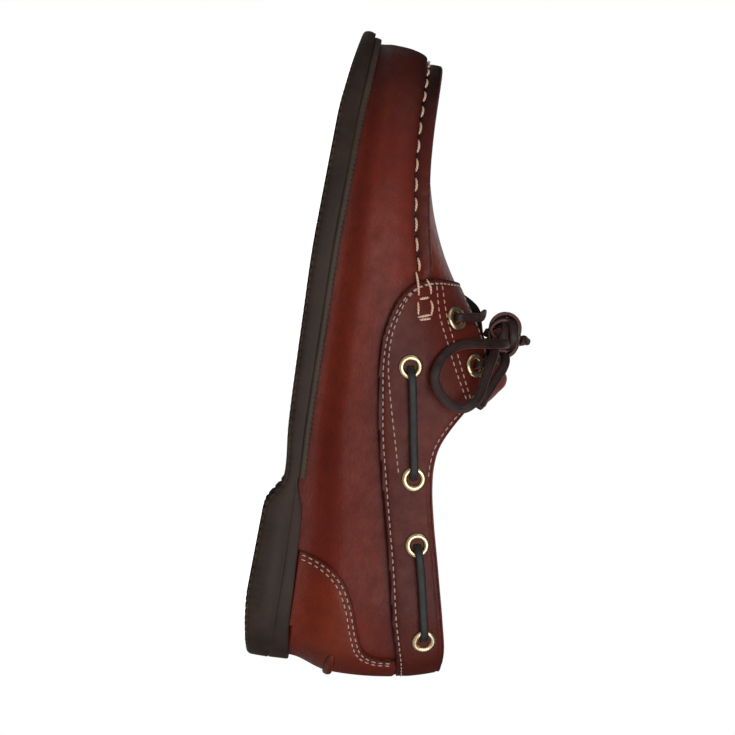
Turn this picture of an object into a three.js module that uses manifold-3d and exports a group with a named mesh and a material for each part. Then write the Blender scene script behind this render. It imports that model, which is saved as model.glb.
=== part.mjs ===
// Boat shoe (left), an assembly of separate solids in millimetres, +X toe, +Y outer side, +Z up.
// Every curved piece comes from one function, lastPoint: a form over the outline of the sole
// whose wall leans out to a bulge and then closes over the foot as a Lame curve.
// The upper is the shell between two offsets of that form, and the proud overlays are cut
// between two larger offsets. While it is built, x runs from the back of the heel (0) to the toe.

import * as THREE from 'three';
import { mergeVertices } from 'three/addons/utils/BufferGeometryUtils.js';
import Module from 'manifold-3d';

const wasm = await Module();
wasm.setup();

// ---- driving dimensions (mm) -------------------------------------------------------------
const LENGTH = 298;          // outsole, heel to toe
const BALL_WIDTH = 103;      // outsole across the ball
const HEEL_HEIGHT = 96;      // top of the collar at the back, above the floor
const WALL = 2;              // leather of the upper
const OVERLAY = 1.5;         // leather of the proud overlays
const GAP = 0.3;             // clear space between touching pieces
const FEATHER = 5;           // inset of the upper's lower edge from the outsole's outline
const WELT_HEIGHT = 3;
const WELT_WIDTH = 4.2;
const WELT_START = 0.29;     // share of the length where the welt begins, both sides
const LIP_WIDTH = 4.4;       // raised rim of the outsole round the heel
const INSOLE = 3.6;
const THROAT_FRONT = 187;    // where the plug ends and the tongue shows
const THROAT_HALF = 11;      // half width of the throat slot
const TONGUE = 2.4;
const EYELET_RADIUS = 5.6;
const EYELET_HOLE = 3.1;
const EYELET_SHANK = 3.7;
const PUNCH_RADIUS = 4.2;    // hole punched through the leather for an eyelet
const EYELET_SIDES = 10;
const PUNCH_SIDES = 8;
const LACE_WIDTH = 3.6;
const LACE_DEPTH = 2.0;
const CROSSING_LIFT = 7;   // height of the crossing lace above the closed form
const CORD_WIDTH = 3.2;      // the stiffer lace of the bow

// ---- tables ------------------------------------------------------------------------------
// Outline of the sole seen from above: share of the length, then shares of the ball width.
const OUTLINE = [
  { at: 0.000, outer: 0.000, inner: 0.000 },
  { at: 0.014, outer: 0.152, inner: -0.150 },
  { at: 0.052, outer: 0.262, inner: -0.260 },
  { at: 0.112, outer: 0.325, inner: -0.322 },
  { at: 0.174, outer: 0.336, inner: -0.330 },
  { at: 0.235, outer: 0.334, inner: -0.316 },
  { at: 0.289, outer: 0.338, inner: -0.298 },
  { at: 0.369, outer: 0.356, inner: -0.282 },
  { at: 0.453, outer: 0.394, inner: -0.292 },
  { at: 0.537, outer: 0.438, inner: -0.334 },
  { at: 0.621, outer: 0.480, inner: -0.406 },
  { at: 0.705, outer: 0.498, inner: -0.478 },
  { at: 0.779, outer: 0.478, inner: -0.502 },
  { at: 0.846, outer: 0.425, inner: -0.480 },
  { at: 0.903, outer: 0.342, inner: -0.424 },
  { at: 0.946, outer: 0.248, inner: -0.350 },
  { at: 0.980, outer: 0.128, inner: -0.246 },
  { at: 1.000, outer: -0.062, inner: -0.062 },
];

// Heights of the outsole: its underside, the seat that carries the upper, the rim round it.
const SOLE = [
  { at: 0.000, under: 5.0, seat: 17.0, rim: 25.0 },
  { at: 0.027, under: 3.0, seat: 16.8, rim: 23.6 },
  { at: 0.067, under: 1.0, seat: 16.5, rim: 22.0 },
  { at: 0.107, under: 0.0, seat: 16.2, rim: 21.2 },
  { at: 0.165, under: 0.0, seat: 15.6, rim: 20.0 },
  { at: 0.235, under: 0.0, seat: 14.6, rim: 18.4 },
  { at: 0.289, under: 7.0, seat: 13.8, rim: 13.8 },
  { at: 0.369, under: 4.4, seat: 12.2, rim: 12.2 },
  { at: 0.453, under: 2.8, seat: 11.2, rim: 11.2 },
  { at: 0.537, under: 1.5, seat: 10.3, rim: 10.3 },
  { at: 0.621, under: 0.3, seat: 9.4, rim: 9.4 },
  { at: 0.665, under: 0.0, seat: 9.1, rim: 9.1 },
  { at: 0.846, under: 0.0, seat: 9.1, rim: 9.1 },
  { at: 0.925, under: 1.6, seat: 9.8, rim: 9.8 },
  { at: 1.000, under: 4.6, seat: 10.6, rim: 10.6 },
];

// Form of the upper: share of the length, how far the wall leans out (mm), the exponent of the
// Lame curve, and in shares of the heel height where it bulges, closes and is seamed.
const LAST = [
  { at: 0.000, lean: 4.2, power: 2.00, bulge: 0.469, crown: 1.271, seam: 0.812 },
  { at: 0.100, lean: 4.4, power: 2.15, bulge: 0.448, crown: 1.271, seam: 0.792 },
  { at: 0.200, lean: 4.4, power: 2.25, bulge: 0.417, crown: 1.250, seam: 0.750 },
  { at: 0.300, lean: 4.6, power: 2.35, bulge: 0.354, crown: 1.156, seam: 0.667 },
  { at: 0.380, lean: 4.6, power: 2.35, bulge: 0.312, crown: 1.104, seam: 0.625 },
  { at: 0.450, lean: 4.4, power: 2.15, bulge: 0.292, crown: 1.062, seam: 0.583 },
  { at: 0.500, lean: 4.2, power: 1.98, bulge: 0.281, crown: 1.000, seam: 0.573 },
  { at: 0.555, lean: 4.0, power: 1.88, bulge: 0.271, crown: 0.906, seam: 0.542 },
  { at: 0.625, lean: 3.6, power: 1.94, bulge: 0.260, crown: 0.734, seam: 0.505 },
  { at: 0.680, lean: 3.2, power: 2.20, bulge: 0.250, crown: 0.625, seam: 0.458 },
  { at: 0.740, lean: 3.0, power: 2.60, bulge: 0.240, crown: 0.542, seam: 0.422 },
  { at: 0.810, lean: 2.6, power: 3.00, bulge: 0.229, crown: 0.479, seam: 0.391 },
  { at: 0.890, lean: 2.0, power: 3.30, bulge: 0.219, crown: 0.443, seam: 0.375 },
  { at: 1.000, lean: 0.8, power: 3.50, bulge: 0.208, crown: 0.427, seam: 0.370 },
];

// Top edge of the quarters, seen from the side (mm from the back of the heel, mm above floor).
const COLLAR = [
  { x: -12, z: 97.0 },
  { x: 4, z: 96.6 },
  { x: 19, z: 95.6 },
  { x: 32, z: 92.2 },
  { x: 46, z: 88.2 },
  { x: 60, z: 84.2 },
  { x: 78, z: 79.0 },
  { x: 92, z: 75.6 },
  { x: 103, z: 74.2 },
  { x: 112, z: 75.0 },
  { x: 121, z: 78.6 },
  { x: 130, z: 83.6 },
  { x: 140, z: 88.8 },
  { x: 147, z: 91.6 },
  { x: 153, z: 93.0 },
  { x: 157, z: 97.0 },
];

// Lower edge of the saddle, seen from the side, from the collar band at the back to the throat.
const SADDLE_EDGE = [
  { x: -12, z: 77.0 },
  { x: 5, z: 75.0 },
  { x: 30, z: 67.0 },
  { x: 52, z: 61.4 },
  { x: 80, z: 53.7 },
  { x: 95, z: 49.6 },
  { x: 112, z: 45.1 },
  { x: 128, z: 41.9 },
  { x: 145, z: 38.8 },
  { x: 158, z: 38.2 },
  { x: 171, z: 40.4 },
  { x: 179, z: 43.8 },
  { x: 184, z: 48.4 },
  { x: 187, z: 54.0 },
  { x: 188, z: 60.0 },
  { x: 188, z: 90.0 },
];

// Front edge of the heel counter, seen from the side, from the sole up to the collar band.
const COUNTER_EDGE = [
  { x: 55.5, z: 10.0 },
  { x: 54.5, z: 22.0 },
  { x: 51.0, z: 34.0 },
  { x: 44.5, z: 43.0 },
  { x: 34.0, z: 49.5 },
  { x: 21.0, z: 54.6 },
  { x: 14.0, z: 58.6 },
  { x: 11.8, z: 64.0 },
  { x: 12.4, z: 72.0 },
];

// Tongue: half width, and how far and how wide its middle puffs up between the facings.
const TONGUE_ROWS = [
  { x: 203, half: 17, puff: 0.0, wide: 8.0 },
  { x: 196, half: 18, puff: 0.0, wide: 8.0 },
  { x: 187, half: 19, puff: 0.0, wide: 8.0 },
  { x: 184.4, half: 20, puff: 5.6, wide: 6.0 },
  { x: 182, half: 20, puff: 8.8, wide: 7.6 },
  { x: 179, half: 20, puff: 10.2, wide: 10.0 },
  { x: 174, half: 21, puff: 8.0, wide: 10.5 },
  { x: 166, half: 21, puff: 4.6, wide: 10.5 },
  { x: 158, half: 21, puff: 5.8, wide: 11.0 },
  { x: 154.5, half: 20.5, puff: 8.0, wide: 12.0 },
  { x: 150, half: 20, puff: 9.4, wide: 13.0 },
  { x: 146, half: 19, puff: 7.6, wide: 14.0 },
  { x: 142, half: 16.5, puff: 3.2, wide: 14.0 },
  { x: 138, half: 13, puff: -1.2, wide: 14.0 },
  { x: 134.5, half: 8, puff: -6.0, wide: 14.0 },
];

// Free runs of the bow: from the knot round each loop and back, and along each end.
const KNOT = { x: 169, y: 2, z: 96.0, long: 17, wide: 16, high: 16.4 };
const BOW = [
  {
    name: 'bow_loop_outer',
    route: [[166, 12.8, 92.2], [163.6, 17, 91.9], [158.9, 25.4, 91.4], [153.8, 31.6, 90.2],
      [147.5, 35.6, 88.8], [141.6, 38, 88], [136.8, 40.8, 86.4], [133.4, 42.2, 83.6],
      [131.7, 42.6, 80.6], [131.9, 42.6, 77], [134.3, 42.6, 72.3], [137.8, 42.3, 68.3],
      [142.6, 42, 65.9], [147.6, 41.4, 65.9], [153, 39.4, 67.8], [157.7, 36.4, 71.5],
      [160.5, 33, 76.4], [162, 29.4, 82.2], [163, 25.4, 88.2], [164.2, 19.4, 94.2],
      [165, 13.6, 97.6]],
  },
  {
    name: 'bow_loop_inner',
    route: [[167.4, -6.8, 98.4], [166, -13, 95.5], [164.2, -19.6, 89.5], [161.6, -26.4, 82],
      [158, -30.6, 74.6], [152.6, -33, 69.6], [146, -33.4, 68.4], [140, -32.2, 71],
      [136.4, -30, 76], [136.4, -26.6, 82.6], [140.4, -22.6, 88.8], [147, -18.6, 93],
      [154.4, -14.2, 95.8], [160.4, -9.2, 97]],
  },
  {
    name: 'lace_end_outer',
    route: [[168.6, 0.6, 104.9], [168.4, -3.4, 107.4], [167.8, -8.8, 105.8],
      [167.4, -14, 101.6], [168, -19, 95.8], [169.4, -23.2, 88.6]],
  },
  {
    name: 'lace_end_inner',
    route: [[160.2, 13.2, 97.2], [156.6, 17, 97.8], [152, 21, 96.6], [146.6, 24.6, 94],
      [141, 27.6, 91.6], [136.6, 29.6, 89.6], [133.4, 31.4, 88.4]],
  },
];

// Places of the eyelets, seen from the side.
const SIDE_EYELETS = [
  { name: 'a', x: 146.0, z: 54.0 },
  { name: 'b', x: 96.0, z: 65.3 },
  { name: 'c', x: 66.5, z: 72.6 },
  { name: 'd', x: 23.6, z: 84.2 },
];
const FACING_EYELETS = [
  { name: 'e', x: 171.5, z: 70.6 },
  { name: 'f', x: 152.0, z: 83.4 },
];

// ---- small helpers -----------------------------------------------------------------------
// Monotone cubic through one column of a table, so that flat rows stay flat.
function along(table, key, column, at) {
  const last = table.length - 1;
  if (at <= table[0][key]) return table[0][column];
  if (at >= table[last][key]) return table[last][column];
  const slope = (i) => {
    const run = table[i + 1][key] - table[i][key];
    return (table[i + 1][column] - table[i][column]) / run;
  };
  const tangent = (i) => {
    if (i === 0) return slope(0);
    if (i === last) return slope(last - 1);
    const before = slope(i - 1);
    const after = slope(i);
    return before * after <= 0 ? 0 : (2 * before * after) / (before + after);
  };
  let i = 0;
  while (at > table[i + 1][key]) i += 1;
  const run = table[i + 1][key] - table[i][key];
  const t = (at - table[i][key]) / run;
  const from = table[i][column];
  const to = table[i + 1][column];
  const bend = run * (tangent(i) * (1 - t) - tangent(i + 1) * t);
  return from + (to - from) * t * t * (3 - 2 * t) + bend * t * (1 - t);
}

const last = (column, x) => along(LAST, 'at', column, x / LENGTH);
const height = (column, x) => last(column, x) * HEEL_HEIGHT;
const sole = (column, x) => along(SOLE, 'at', column, x / LENGTH);

// A closed body through rings of equal, even length. Point k of a ring faces point n - k,
// so the first and last ring are closed by a ladder of quads, flat across.
function body(rings) {
  const n = rings[0].length;
  const positions = rings.flat().flatMap((p) => [p.x, p.y, p.z]);
  const faces = [];
  const quad = (a, b, c, d) => faces.push([a, b, c], [a, c, d]);
  for (let r = 0; r + 1 < rings.length; r += 1) {
    for (let k = 0; k < n; k += 1) {
      const next = (k + 1) % n;
      quad(r * n + k, r * n + next, (r + 1) * n + next, (r + 1) * n + k);
    }
  }
  const top = (rings.length - 1) * n;
  for (let k = 0; k < n / 2; k += 1) {
    const facing = (n - k) % n;
    quad(k, facing, n - k - 1, k + 1);
    quad(top + k, top + k + 1, top + n - k - 1, top + facing);
  }
  const geometry = new THREE.BufferGeometry();
  geometry.setAttribute('position', new THREE.Float32BufferAttribute(positions, 3));
  geometry.setIndex(faces.flat());
  return solid(geometry);
}

// A manifold solid from a closed geometry, welded, with its faces turned out.
function solid(geometry) {
  const bare = new THREE.BufferGeometry();
  bare.setAttribute('position', geometry.getAttribute('position'));
  if (geometry.index) bare.setIndex(geometry.index);
  const welded = mergeVertices(bare, 1e-4);
  const vertices = welded.getAttribute('position').array;
  const index = welded.index.array;
  const kept = [];
  let volume = 0;
  const at = (i) => new THREE.Vector3().fromArray(vertices, 3 * i);
  for (let i = 0; i < index.length; i += 3) {
    const [a, b, c] = [index[i], index[i + 1], index[i + 2]];
    if (a === b || b === c || c === a) continue;
    kept.push(a, b, c);
    volume += at(a).dot(at(b).cross(at(c)));
  }
  if (volume < 0) kept.reverse();
  const mesh = new wasm.Mesh({
    numProp: 3,
    vertProperties: Float32Array.from(vertices),
    triVerts: Uint32Array.from(kept),
  });
  return new wasm.Manifold(mesh);
}

function geometryOf(manifold) {
  const mesh = manifold.getMesh();
  const geometry = new THREE.BufferGeometry();
  geometry.setAttribute('position', new THREE.Float32BufferAttribute(mesh.vertProperties, 3));
  geometry.setIndex(new THREE.Uint32BufferAttribute(mesh.triVerts, 1));
  geometry.computeVertexNormals();
  return geometry;
}

// A prism across the shoe over a polygon drawn in the side view, between two widths.
function sidePrism(points, from = -90, to = 90) {
  const shape = new THREE.Shape(points.map((p) => new THREE.Vector2(p.x, p.z)));
  const geometry = new THREE.ExtrudeGeometry(shape, { depth: to - from, bevelEnabled: false });
  geometry.rotateX(Math.PI / 2);
  geometry.translate(0, to, 0);
  return solid(geometry);
}

// A prism standing up over a polygon drawn in the plan.
function planPrism(points, low, high) {
  const shape = new THREE.Shape(points.map((p) => new THREE.Vector2(p.x, p.y)));
  const geometry = new THREE.ExtrudeGeometry(shape, { depth: high - low, bevelEnabled: false });
  geometry.translate(0, 0, low);
  return solid(geometry);
}

// A curve through the rows of an edge table, with a few points between rows.
function smoothEdge(rows, steps) {
  const points = rows.map((row) => new THREE.Vector3(row.x, 0, row.z));
  const curve = new THREE.CatmullRomCurve3(points, false, 'centripetal');
  return curve.getPoints(steps).map((p) => ({ x: p.x, z: p.z }));
}

// ---- outline -----------------------------------------------------------------------------
// Columns run heel, outer side, toe, inner side; column k faces column 2n - k across the shoe.
const STEPS = 2;
const HALF = (OUTLINE.length - 1) * STEPS;
const COLUMNS = 2 * HALF;

function outlineCurve() {
  const outer = OUTLINE.map((row) => [row.at, row.outer]);
  const inner = OUTLINE.slice(1, -1).reverse().map((row) => [row.at, row.inner]);
  const points = [...outer, ...inner].map(([at, side]) =>
    new THREE.Vector3(at * LENGTH, side * BALL_WIDTH, 0));
  return new THREE.CatmullRomCurve3(points, true, 'centripetal');
}

const EDGE = Array.from({ length: COLUMNS }, (_, k) => {
  const curve = outlineCurve();
  const point = curve.getPoint(k / COLUMNS);
  const tangent = curve.getTangent(k / COLUMNS);
  return { point, inward: new THREE.Vector3(tangent.y, -tangent.x, 0) };
});

const across = (k) => (COLUMNS - k) % COLUMNS;

function insetPoint(k, inset, z) {
  const { point, inward } = EDGE[k];
  return point.clone().addScaledVector(inward, inset).setZ(z);
}

// A ring round the sole at an inset, at a height that follows the length.
function soleRing(inset, height) {
  return EDGE.map(({ point }, k) => insetPoint(k, inset(point.x), height(point.x)));
}

// ---- form of the upper -------------------------------------------------------------------
const FAN_TOE = { start: 212, reach: 43 };
const FAN_HEEL = { start: 80, reach: 40 };

// Where the wall of a column meets the crown: straight across in the middle of the shoe,
// and gathered towards a point at the toe and at the heel.
function crownX(x) {
  const toe = Math.max(0, (x - FAN_TOE.start) / (LENGTH - FAN_TOE.start));
  const heel = Math.max(0, (FAN_HEEL.start - x) / FAN_HEEL.start);
  return x - FAN_TOE.reach * toe * toe + FAN_HEEL.reach * heel * heel;
}

// Rows of the wall: stretch 0 is feather to bulge, 1 bulge to seam, 2 seam to crown.
// The wall rises straight behind the rim before it leans out.
const STRAIGHT = 0.3;
const WALL_ROWS = [
  { stretch: 0, t: 0, ridge: 0 },
  { stretch: 0, t: STRAIGHT, ridge: 0 },
  { stretch: 0, t: 0.65, ridge: 0 },
  { stretch: 1, t: 0, ridge: 0 },
  { stretch: 1, t: 0.5, ridge: 0 },
  { stretch: 2, t: 0, ridge: 0 },
  { stretch: 2, t: 0.03, ridge: 1 },
  { stretch: 2, t: 0.12, ridge: 1 },
  { stretch: 2, t: 0.36, ridge: 0 },
  { stretch: 2, t: 0.66, ridge: 0 },
  { stretch: 2, t: 1, ridge: 0 },
];

// Height of the raised moccasin seam, which dies out under the saddle.
const RIDGE = [
  { x: 198, rise: 0 },
  { x: 210, rise: 3.8 },
  { x: 225, rise: 4.4 },
  { x: 298, rise: 5.0 },
];

function lastPoint(k, row) {
  const edge = EDGE[k].point;
  const x = edge.x;
  const feather = insetPoint(k, FEATHER, sole('seat', x) + GAP);
  const bulgeZ = height('bulge', x);
  if (row.stretch === 0) {
    const turn = Math.PI * Math.max(0, row.t - STRAIGHT) / (1 - STRAIGHT);
    const lean = last('lean', x) * (1 - Math.cos(turn)) / 2;
    return insetPoint(k, FEATHER - lean, feather.z + (bulgeZ - feather.z) * row.t);
  }
  const facing = EDGE[across(k)].point;
  const crownZ = height('crown', crownX(x));
  const top = new THREE.Vector3(crownX(x), (edge.y + facing.y) / 2, crownZ);
  const start = insetPoint(k, FEATHER - last('lean', x), bulgeZ);
  const power = last('power', x);
  const seamShare = (height('seam', x) - bulgeZ) / (crownZ - bulgeZ);
  const seamTurn = Math.asin(seamShare ** (power / 2));
  const turn = row.stretch === 1
    ? seamTurn * row.t
    : seamTurn + (Math.PI / 2 - seamTurn) * row.t;
  const rise = Math.sin(turn) ** (2 / power);
  const reach = 1 - Math.max(0, Math.cos(turn)) ** (2 / power);
  const point = start.clone().lerp(top, reach);
  return point.setZ(bulgeZ + (crownZ - bulgeZ) * rise);
}

// Rings of the form at an offset along its own normals, from the feather edge to the crown;
// ridged is 1 where the moccasin seam stands up, otherwise 0.
function formRings(offset, ridged) {
  const grid = WALL_ROWS.map((row) => EDGE.map((_, k) => lastPoint(k, row)));
  const crown = WALL_ROWS.length - 1;
  return grid.map((ring, r) => ring.map((point, k) => {
    const normal = new THREE.Vector3();
    if (r === crown) {
      const slope = (height('crown', point.x + 1) - height('crown', point.x - 1)) / 2;
      normal.set(-slope, 0, 1).normalize();
    } else {
      const before = ring[(k + COLUMNS - 1) % COLUMNS];
      const after = ring[(k + 1) % COLUMNS];
      const up = grid[r + 1][k].clone().sub(grid[Math.max(0, r - 1)][k]);
      normal.crossVectors(up, after.clone().sub(before)).normalize();
      if (r === 0) normal.setZ(0).normalize();
    }
    const moved = point.clone().addScaledVector(normal, offset);
    moved.z += ridged * WALL_ROWS[r].ridge * along(RIDGE, 'x', 'rise', EDGE[k].point.x);
    return moved;
  }));
}

// The whole form as a closed solid, for cutting overlays.
function form(offset) {
  return body(formRings(offset, 0));
}

// ---- openings ----------------------------------------------------------------------------
// Everything above the collar line, and the slot of the throat down to the plug.
const ABOVE = 160;            // well over the shoe, for cutting prisms
const EDGE_STEPS = 26;

function topOpening() {
  const collar = smoothEdge(COLLAR, EDGE_STEPS);
  const back = COLLAR[0].x;
  const front = COLLAR[COLLAR.length - 1].x;
  const above = sidePrism([...collar, { x: front, z: ABOVE }, { x: back, z: ABOVE }]);
  const slot = [
    { x: 140, half: 16 },
    { x: 152, half: 13 },
    { x: 160, half: THROAT_HALF },
    { x: 178, half: THROAT_HALF - 1 },
    { x: THROAT_FRONT - 3, half: 8 },
    { x: THROAT_FRONT, half: 3.5 },
  ];
  const middle = (x) => crownY(x);
  const outer = slot.map((row) => ({ x: row.x, y: middle(row.x) + row.half }));
  const inner = slot.map((row) => ({ x: row.x, y: middle(row.x) - row.half })).reverse();
  return above.add(planPrism([...outer, ...inner], 50, ABOVE));
}

// Middle of the crown seen from above.
function crownY(x) {
  let k = 1;
  while (k < HALF && EDGE[k].point.x < x) k += 1;
  const mid = (i) => (EDGE[i].point.y + EDGE[across(i)].point.y) / 2;
  const run = EDGE[k].point.x - EDGE[k - 1].point.x;
  const t = (x - EDGE[k - 1].point.x) / run;
  return mid(k - 1) * (1 - t) + mid(k) * t;
}

// ---- pieces ------------------------------------------------------------------------------
function makeOutsole() {
  const toeLedge = (x) => Math.max(0, (x - 255) / (LENGTH - 255));
  const rimZ = (x) => sole('rim', x);
  const seatZ = (x) => sole('seat', x);
  const underZ = (x) => sole('under', x);
  return body([
    soleRing(() => 1.8, underZ),
    soleRing(() => 0.3, (x) => underZ(x) + 1.4),
    soleRing(() => 0, (x) => underZ(x) + 3),
    soleRing((x) => 0.3 + 0.3 * toeLedge(x), (x) => seatZ(x) - 0.2),
    soleRing(() => 0.9, rimZ),
    soleRing(() => LIP_WIDTH, rimZ),
    soleRing(() => LIP_WIDTH + 0.2, seatZ),
  ]);
}

function makeWelt() {
  const start = WELT_START * LENGTH;
  const ledge = (x) => 2 * Math.max(0, (x - 250) / (LENGTH - 250));
  const columns = EDGE.map((_, k) => k).filter((k) => EDGE[k].point.x > start);
  return body(columns.map((k) => {
    const x = EDGE[k].point.x;
    const low = sole('seat', x) + GAP;
    const outside = 0.5 + ledge(x);
    const inside = WELT_WIDTH + 0.4;
    const rounded = insetPoint(k, outside + 0.6, low + WELT_HEIGHT);
    return [
      insetPoint(k, inside, low),
      insetPoint(k, outside, low),
      insetPoint(k, outside, low + WELT_HEIGHT - 0.7),
      rounded,
      insetPoint(k, inside - 0.5, low + WELT_HEIGHT),
      insetPoint(k, inside, low + WELT_HEIGHT - 0.6),
    ];
  }));
}

function makeInsole() {
  const inset = () => FEATHER + WALL + 0.7;
  const low = (x) => sole('seat', x) + GAP;
  return body([soleRing(inset, low), soleRing(inset, (x) => low(x) + INSOLE)]);
}

function makeUpper(opening, punches) {
  const outside = formRings(0, 1);
  const inside = formRings(-WALL, 0);
  const shell = body([...inside.reverse(), ...outside]);
  return punches.reduce((piece, punch) => piece.subtract(punch), shell.subtract(opening));
}

function overlayShell(offset, thickness) {
  return form(offset + thickness).subtract(form(offset));
}

function makeSaddle(opening, punches) {
  const edge = smoothEdge(SADDLE_EDGE, EDGE_STEPS);
  const back = SADDLE_EDGE[0].x;
  const front = SADDLE_EDGE[SADDLE_EDGE.length - 1].x;
  const region = sidePrism([...edge, { x: front, z: ABOVE }, { x: back, z: ABOVE }]);
  const cut = overlayShell(GAP, OVERLAY).intersect(region).subtract(opening);
  return punches.reduce((piece, punch) => piece.subtract(punch), cut);
}

function makeCounter() {
  const front = smoothEdge(COUNTER_EDGE, 14);
  const band = smoothEdge(SADDLE_EDGE, EDGE_STEPS)
    .filter((p) => p.x < 12)
    .map((p) => ({ x: p.x, z: p.z - GAP - 0.2 }));
  const region = sidePrism([...front.slice(0, -1), ...band.reverse(), { x: -12, z: 10 }]);
  const rim = [];
  for (let x = -12; x <= 60; x += 6) rim.push({ x, z: sole('rim', Math.max(0, x)) + 4 * GAP });
  const above = sidePrism([...rim, { x: 60, z: 120 }, { x: -12, z: 120 }]);
  return overlayShell(GAP, OVERLAY).intersect(region).intersect(above);
}

function makeHeelRidge() {
  const region = sidePrism([
    { x: -12, z: 42.0 },
    { x: 6.5, z: 42.0 },
    { x: 8.5, z: 43.2 },
    { x: 8.5, z: 44.8 },
    { x: 6.5, z: 46.0 },
    { x: -12, z: 46.0 },
  ]);
  return overlayShell(OVERLAY + 2 * GAP, 1.4).intersect(region);
}

// Height of the form over a point of the plan in the middle of the shoe, shrunk by an inset.
function archZ(x, y, inset) {
  let k = 1;
  while (EDGE[k].point.x < x) k += 1;
  const reach = (EDGE[k].point.y - EDGE[across(k)].point.y) / 2 - FEATHER + last('lean', x) - inset;
  const power = last('power', x);
  const bulge = height('bulge', x);
  const share = Math.min(1, Math.abs(y - crownY(x)) / reach);
  return bulge + (height('crown', x) - inset - bulge) * (1 - share ** power) ** (1 / power);
}

function makeTongue() {
  const count = 13;
  const inset = WALL + 2.2;
  const rings = [];
  for (const row of TONGUE_ROWS) {
    const middle = crownY(row.x);
    const top = (q, depth) => {
      const y = q * row.half;
      const bump = Math.cos(Math.min(1, Math.abs(y) / row.wide) * Math.PI / 2) ** 2;
      const z = archZ(row.x, middle + y, inset + depth) + row.puff * bump;
      return new THREE.Vector3(row.x, middle + y, z);
    };
    const q = Array.from({ length: count }, (_, i) => 1 - (2 * i) / (count - 1));
    rings.push([...q.map((v) => top(v, 0)), ...q.reverse().map((v) => top(v, TONGUE))]);
  }
  return body(rings);
}

// ---- eyelets and laces -------------------------------------------------------------------
const caster = new THREE.Raycaster();

// Point and outward normal of a surface at a place in the side view; side is +1 or -1.
function seat(surface, x, z, side) {
  caster.set(new THREE.Vector3(x, 150 * side, z), new THREE.Vector3(0, -side, 0));
  const hit = caster.intersectObject(surface)[0];
  return { point: hit.point.clone(), normal: hit.face.normal.clone() };
}

function turnTo(normal) {
  return new THREE.Quaternion().setFromUnitVectors(new THREE.Vector3(0, 0, 1), normal);
}

function punchAt(place) {
  const geometry = new THREE.CylinderGeometry(PUNCH_RADIUS, PUNCH_RADIUS, 16, PUNCH_SIDES);
  geometry.rotateX(Math.PI / 2);
  geometry.applyQuaternion(turnTo(place.normal));
  geometry.translate(...place.point.toArray());
  return solid(geometry);
}

// A rolled brass ring with a shank, its axis along Z, its flange just above the leather at 0.
function eyeletGeometry() {
  const lift = 0.5;
  const profile = [
    [EYELET_HOLE, -3.4],
    [EYELET_SHANK, -3.4],
    [EYELET_SHANK, lift],
    [EYELET_RADIUS, lift],
    [EYELET_RADIUS - 1.2, lift + 1.0],
    [EYELET_HOLE, lift + 0.6],
    [EYELET_HOLE, -3.4],
  ].map(([r, z]) => new THREE.Vector2(r, z));
  const geometry = new THREE.LatheGeometry(profile, EYELET_SIDES);
  geometry.rotateX(Math.PI / 2);
  return geometry;
}

// A flat lace through the points of a path; its width stays along the given axis.
function laceBody(path, widthAxis, width, depth) {
  const curve = new THREE.CatmullRomCurve3(path, false, 'centripetal');
  const steps = Math.max(10, Math.round(curve.getLength() / 5));
  const rings = [];
  for (let i = 0; i <= steps; i += 1) {
    const centre = curve.getPointAt(i / steps);
    const tangent = curve.getTangentAt(i / steps);
    const side = widthAxis.clone().addScaledVector(tangent, -widthAxis.dot(tangent)).normalize();
    const up = new THREE.Vector3().crossVectors(tangent, side);
    rings.push(Array.from({ length: 8 }, (_, j) => {
      const turn = (j / 8) * 2 * Math.PI;
      return centre.clone()
        .addScaledVector(side, Math.cos(turn) * width / 2)
        .addScaledVector(up, Math.sin(turn) * depth / 2);
    }));
  }
  return body(rings);
}

// An outside run from one eyelet to the next, dipping into both.
function laceRun(surface, from, to, side) {
  const rise = LACE_DEPTH / 2 + 2.1;
  const a = seat(surface, from.x, from.z, side);
  const b = seat(surface, to.x, to.z, side);
  const over = (t, lift) => {
    const place = seat(surface, from.x + (to.x - from.x) * t, from.z + (to.z - from.z) * t, side);
    return place.point.addScaledVector(place.normal, lift);
  };
  const dip = (place, depth) => place.point.clone().addScaledVector(place.normal, depth);
  const path = [dip(a, -2.6), dip(a, 1.2), over(0.08, rise), over(0.3, rise), over(0.5, rise),
    over(0.7, rise), over(0.92, rise), dip(b, 1.2), dip(b, -2.6)];
  const run = b.point.clone().sub(a.point).normalize();
  const widthAxis = new THREE.Vector3().crossVectors(run, a.normal.clone().add(b.normal));
  return laceBody(path, widthAxis.normalize(), LACE_WIDTH, LACE_DEPTH);
}

// The lace over the tongue, from one front eyelet across to the other.
function laceCrossing(surface) {
  const [hole] = FACING_EYELETS;
  const outer = seat(surface, hole.x, hole.z, 1);
  const inner = seat(surface, hole.x, hole.z, -1);
  const dip = (place, depth) => place.point.clone().addScaledVector(place.normal, depth);
  const over = [0.2, 0.34, 0.5, 0.66, 0.8].map((t) => {
    const forward = 5.5 * Math.sin(Math.PI * t);
    const y = outer.point.y * (1 - t) + inner.point.y * t;
    const z = archZ(hole.x + forward, y, -CROSSING_LIFT);
    return new THREE.Vector3(hole.x + forward, y, z);
  });
  const path = [dip(outer, -2.6), dip(outer, 2.4), ...over, dip(inner, 2.4), dip(inner, -2.6)];
  return laceBody(path, new THREE.Vector3(1, 0, 0), LACE_WIDTH, LACE_DEPTH);
}

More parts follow.
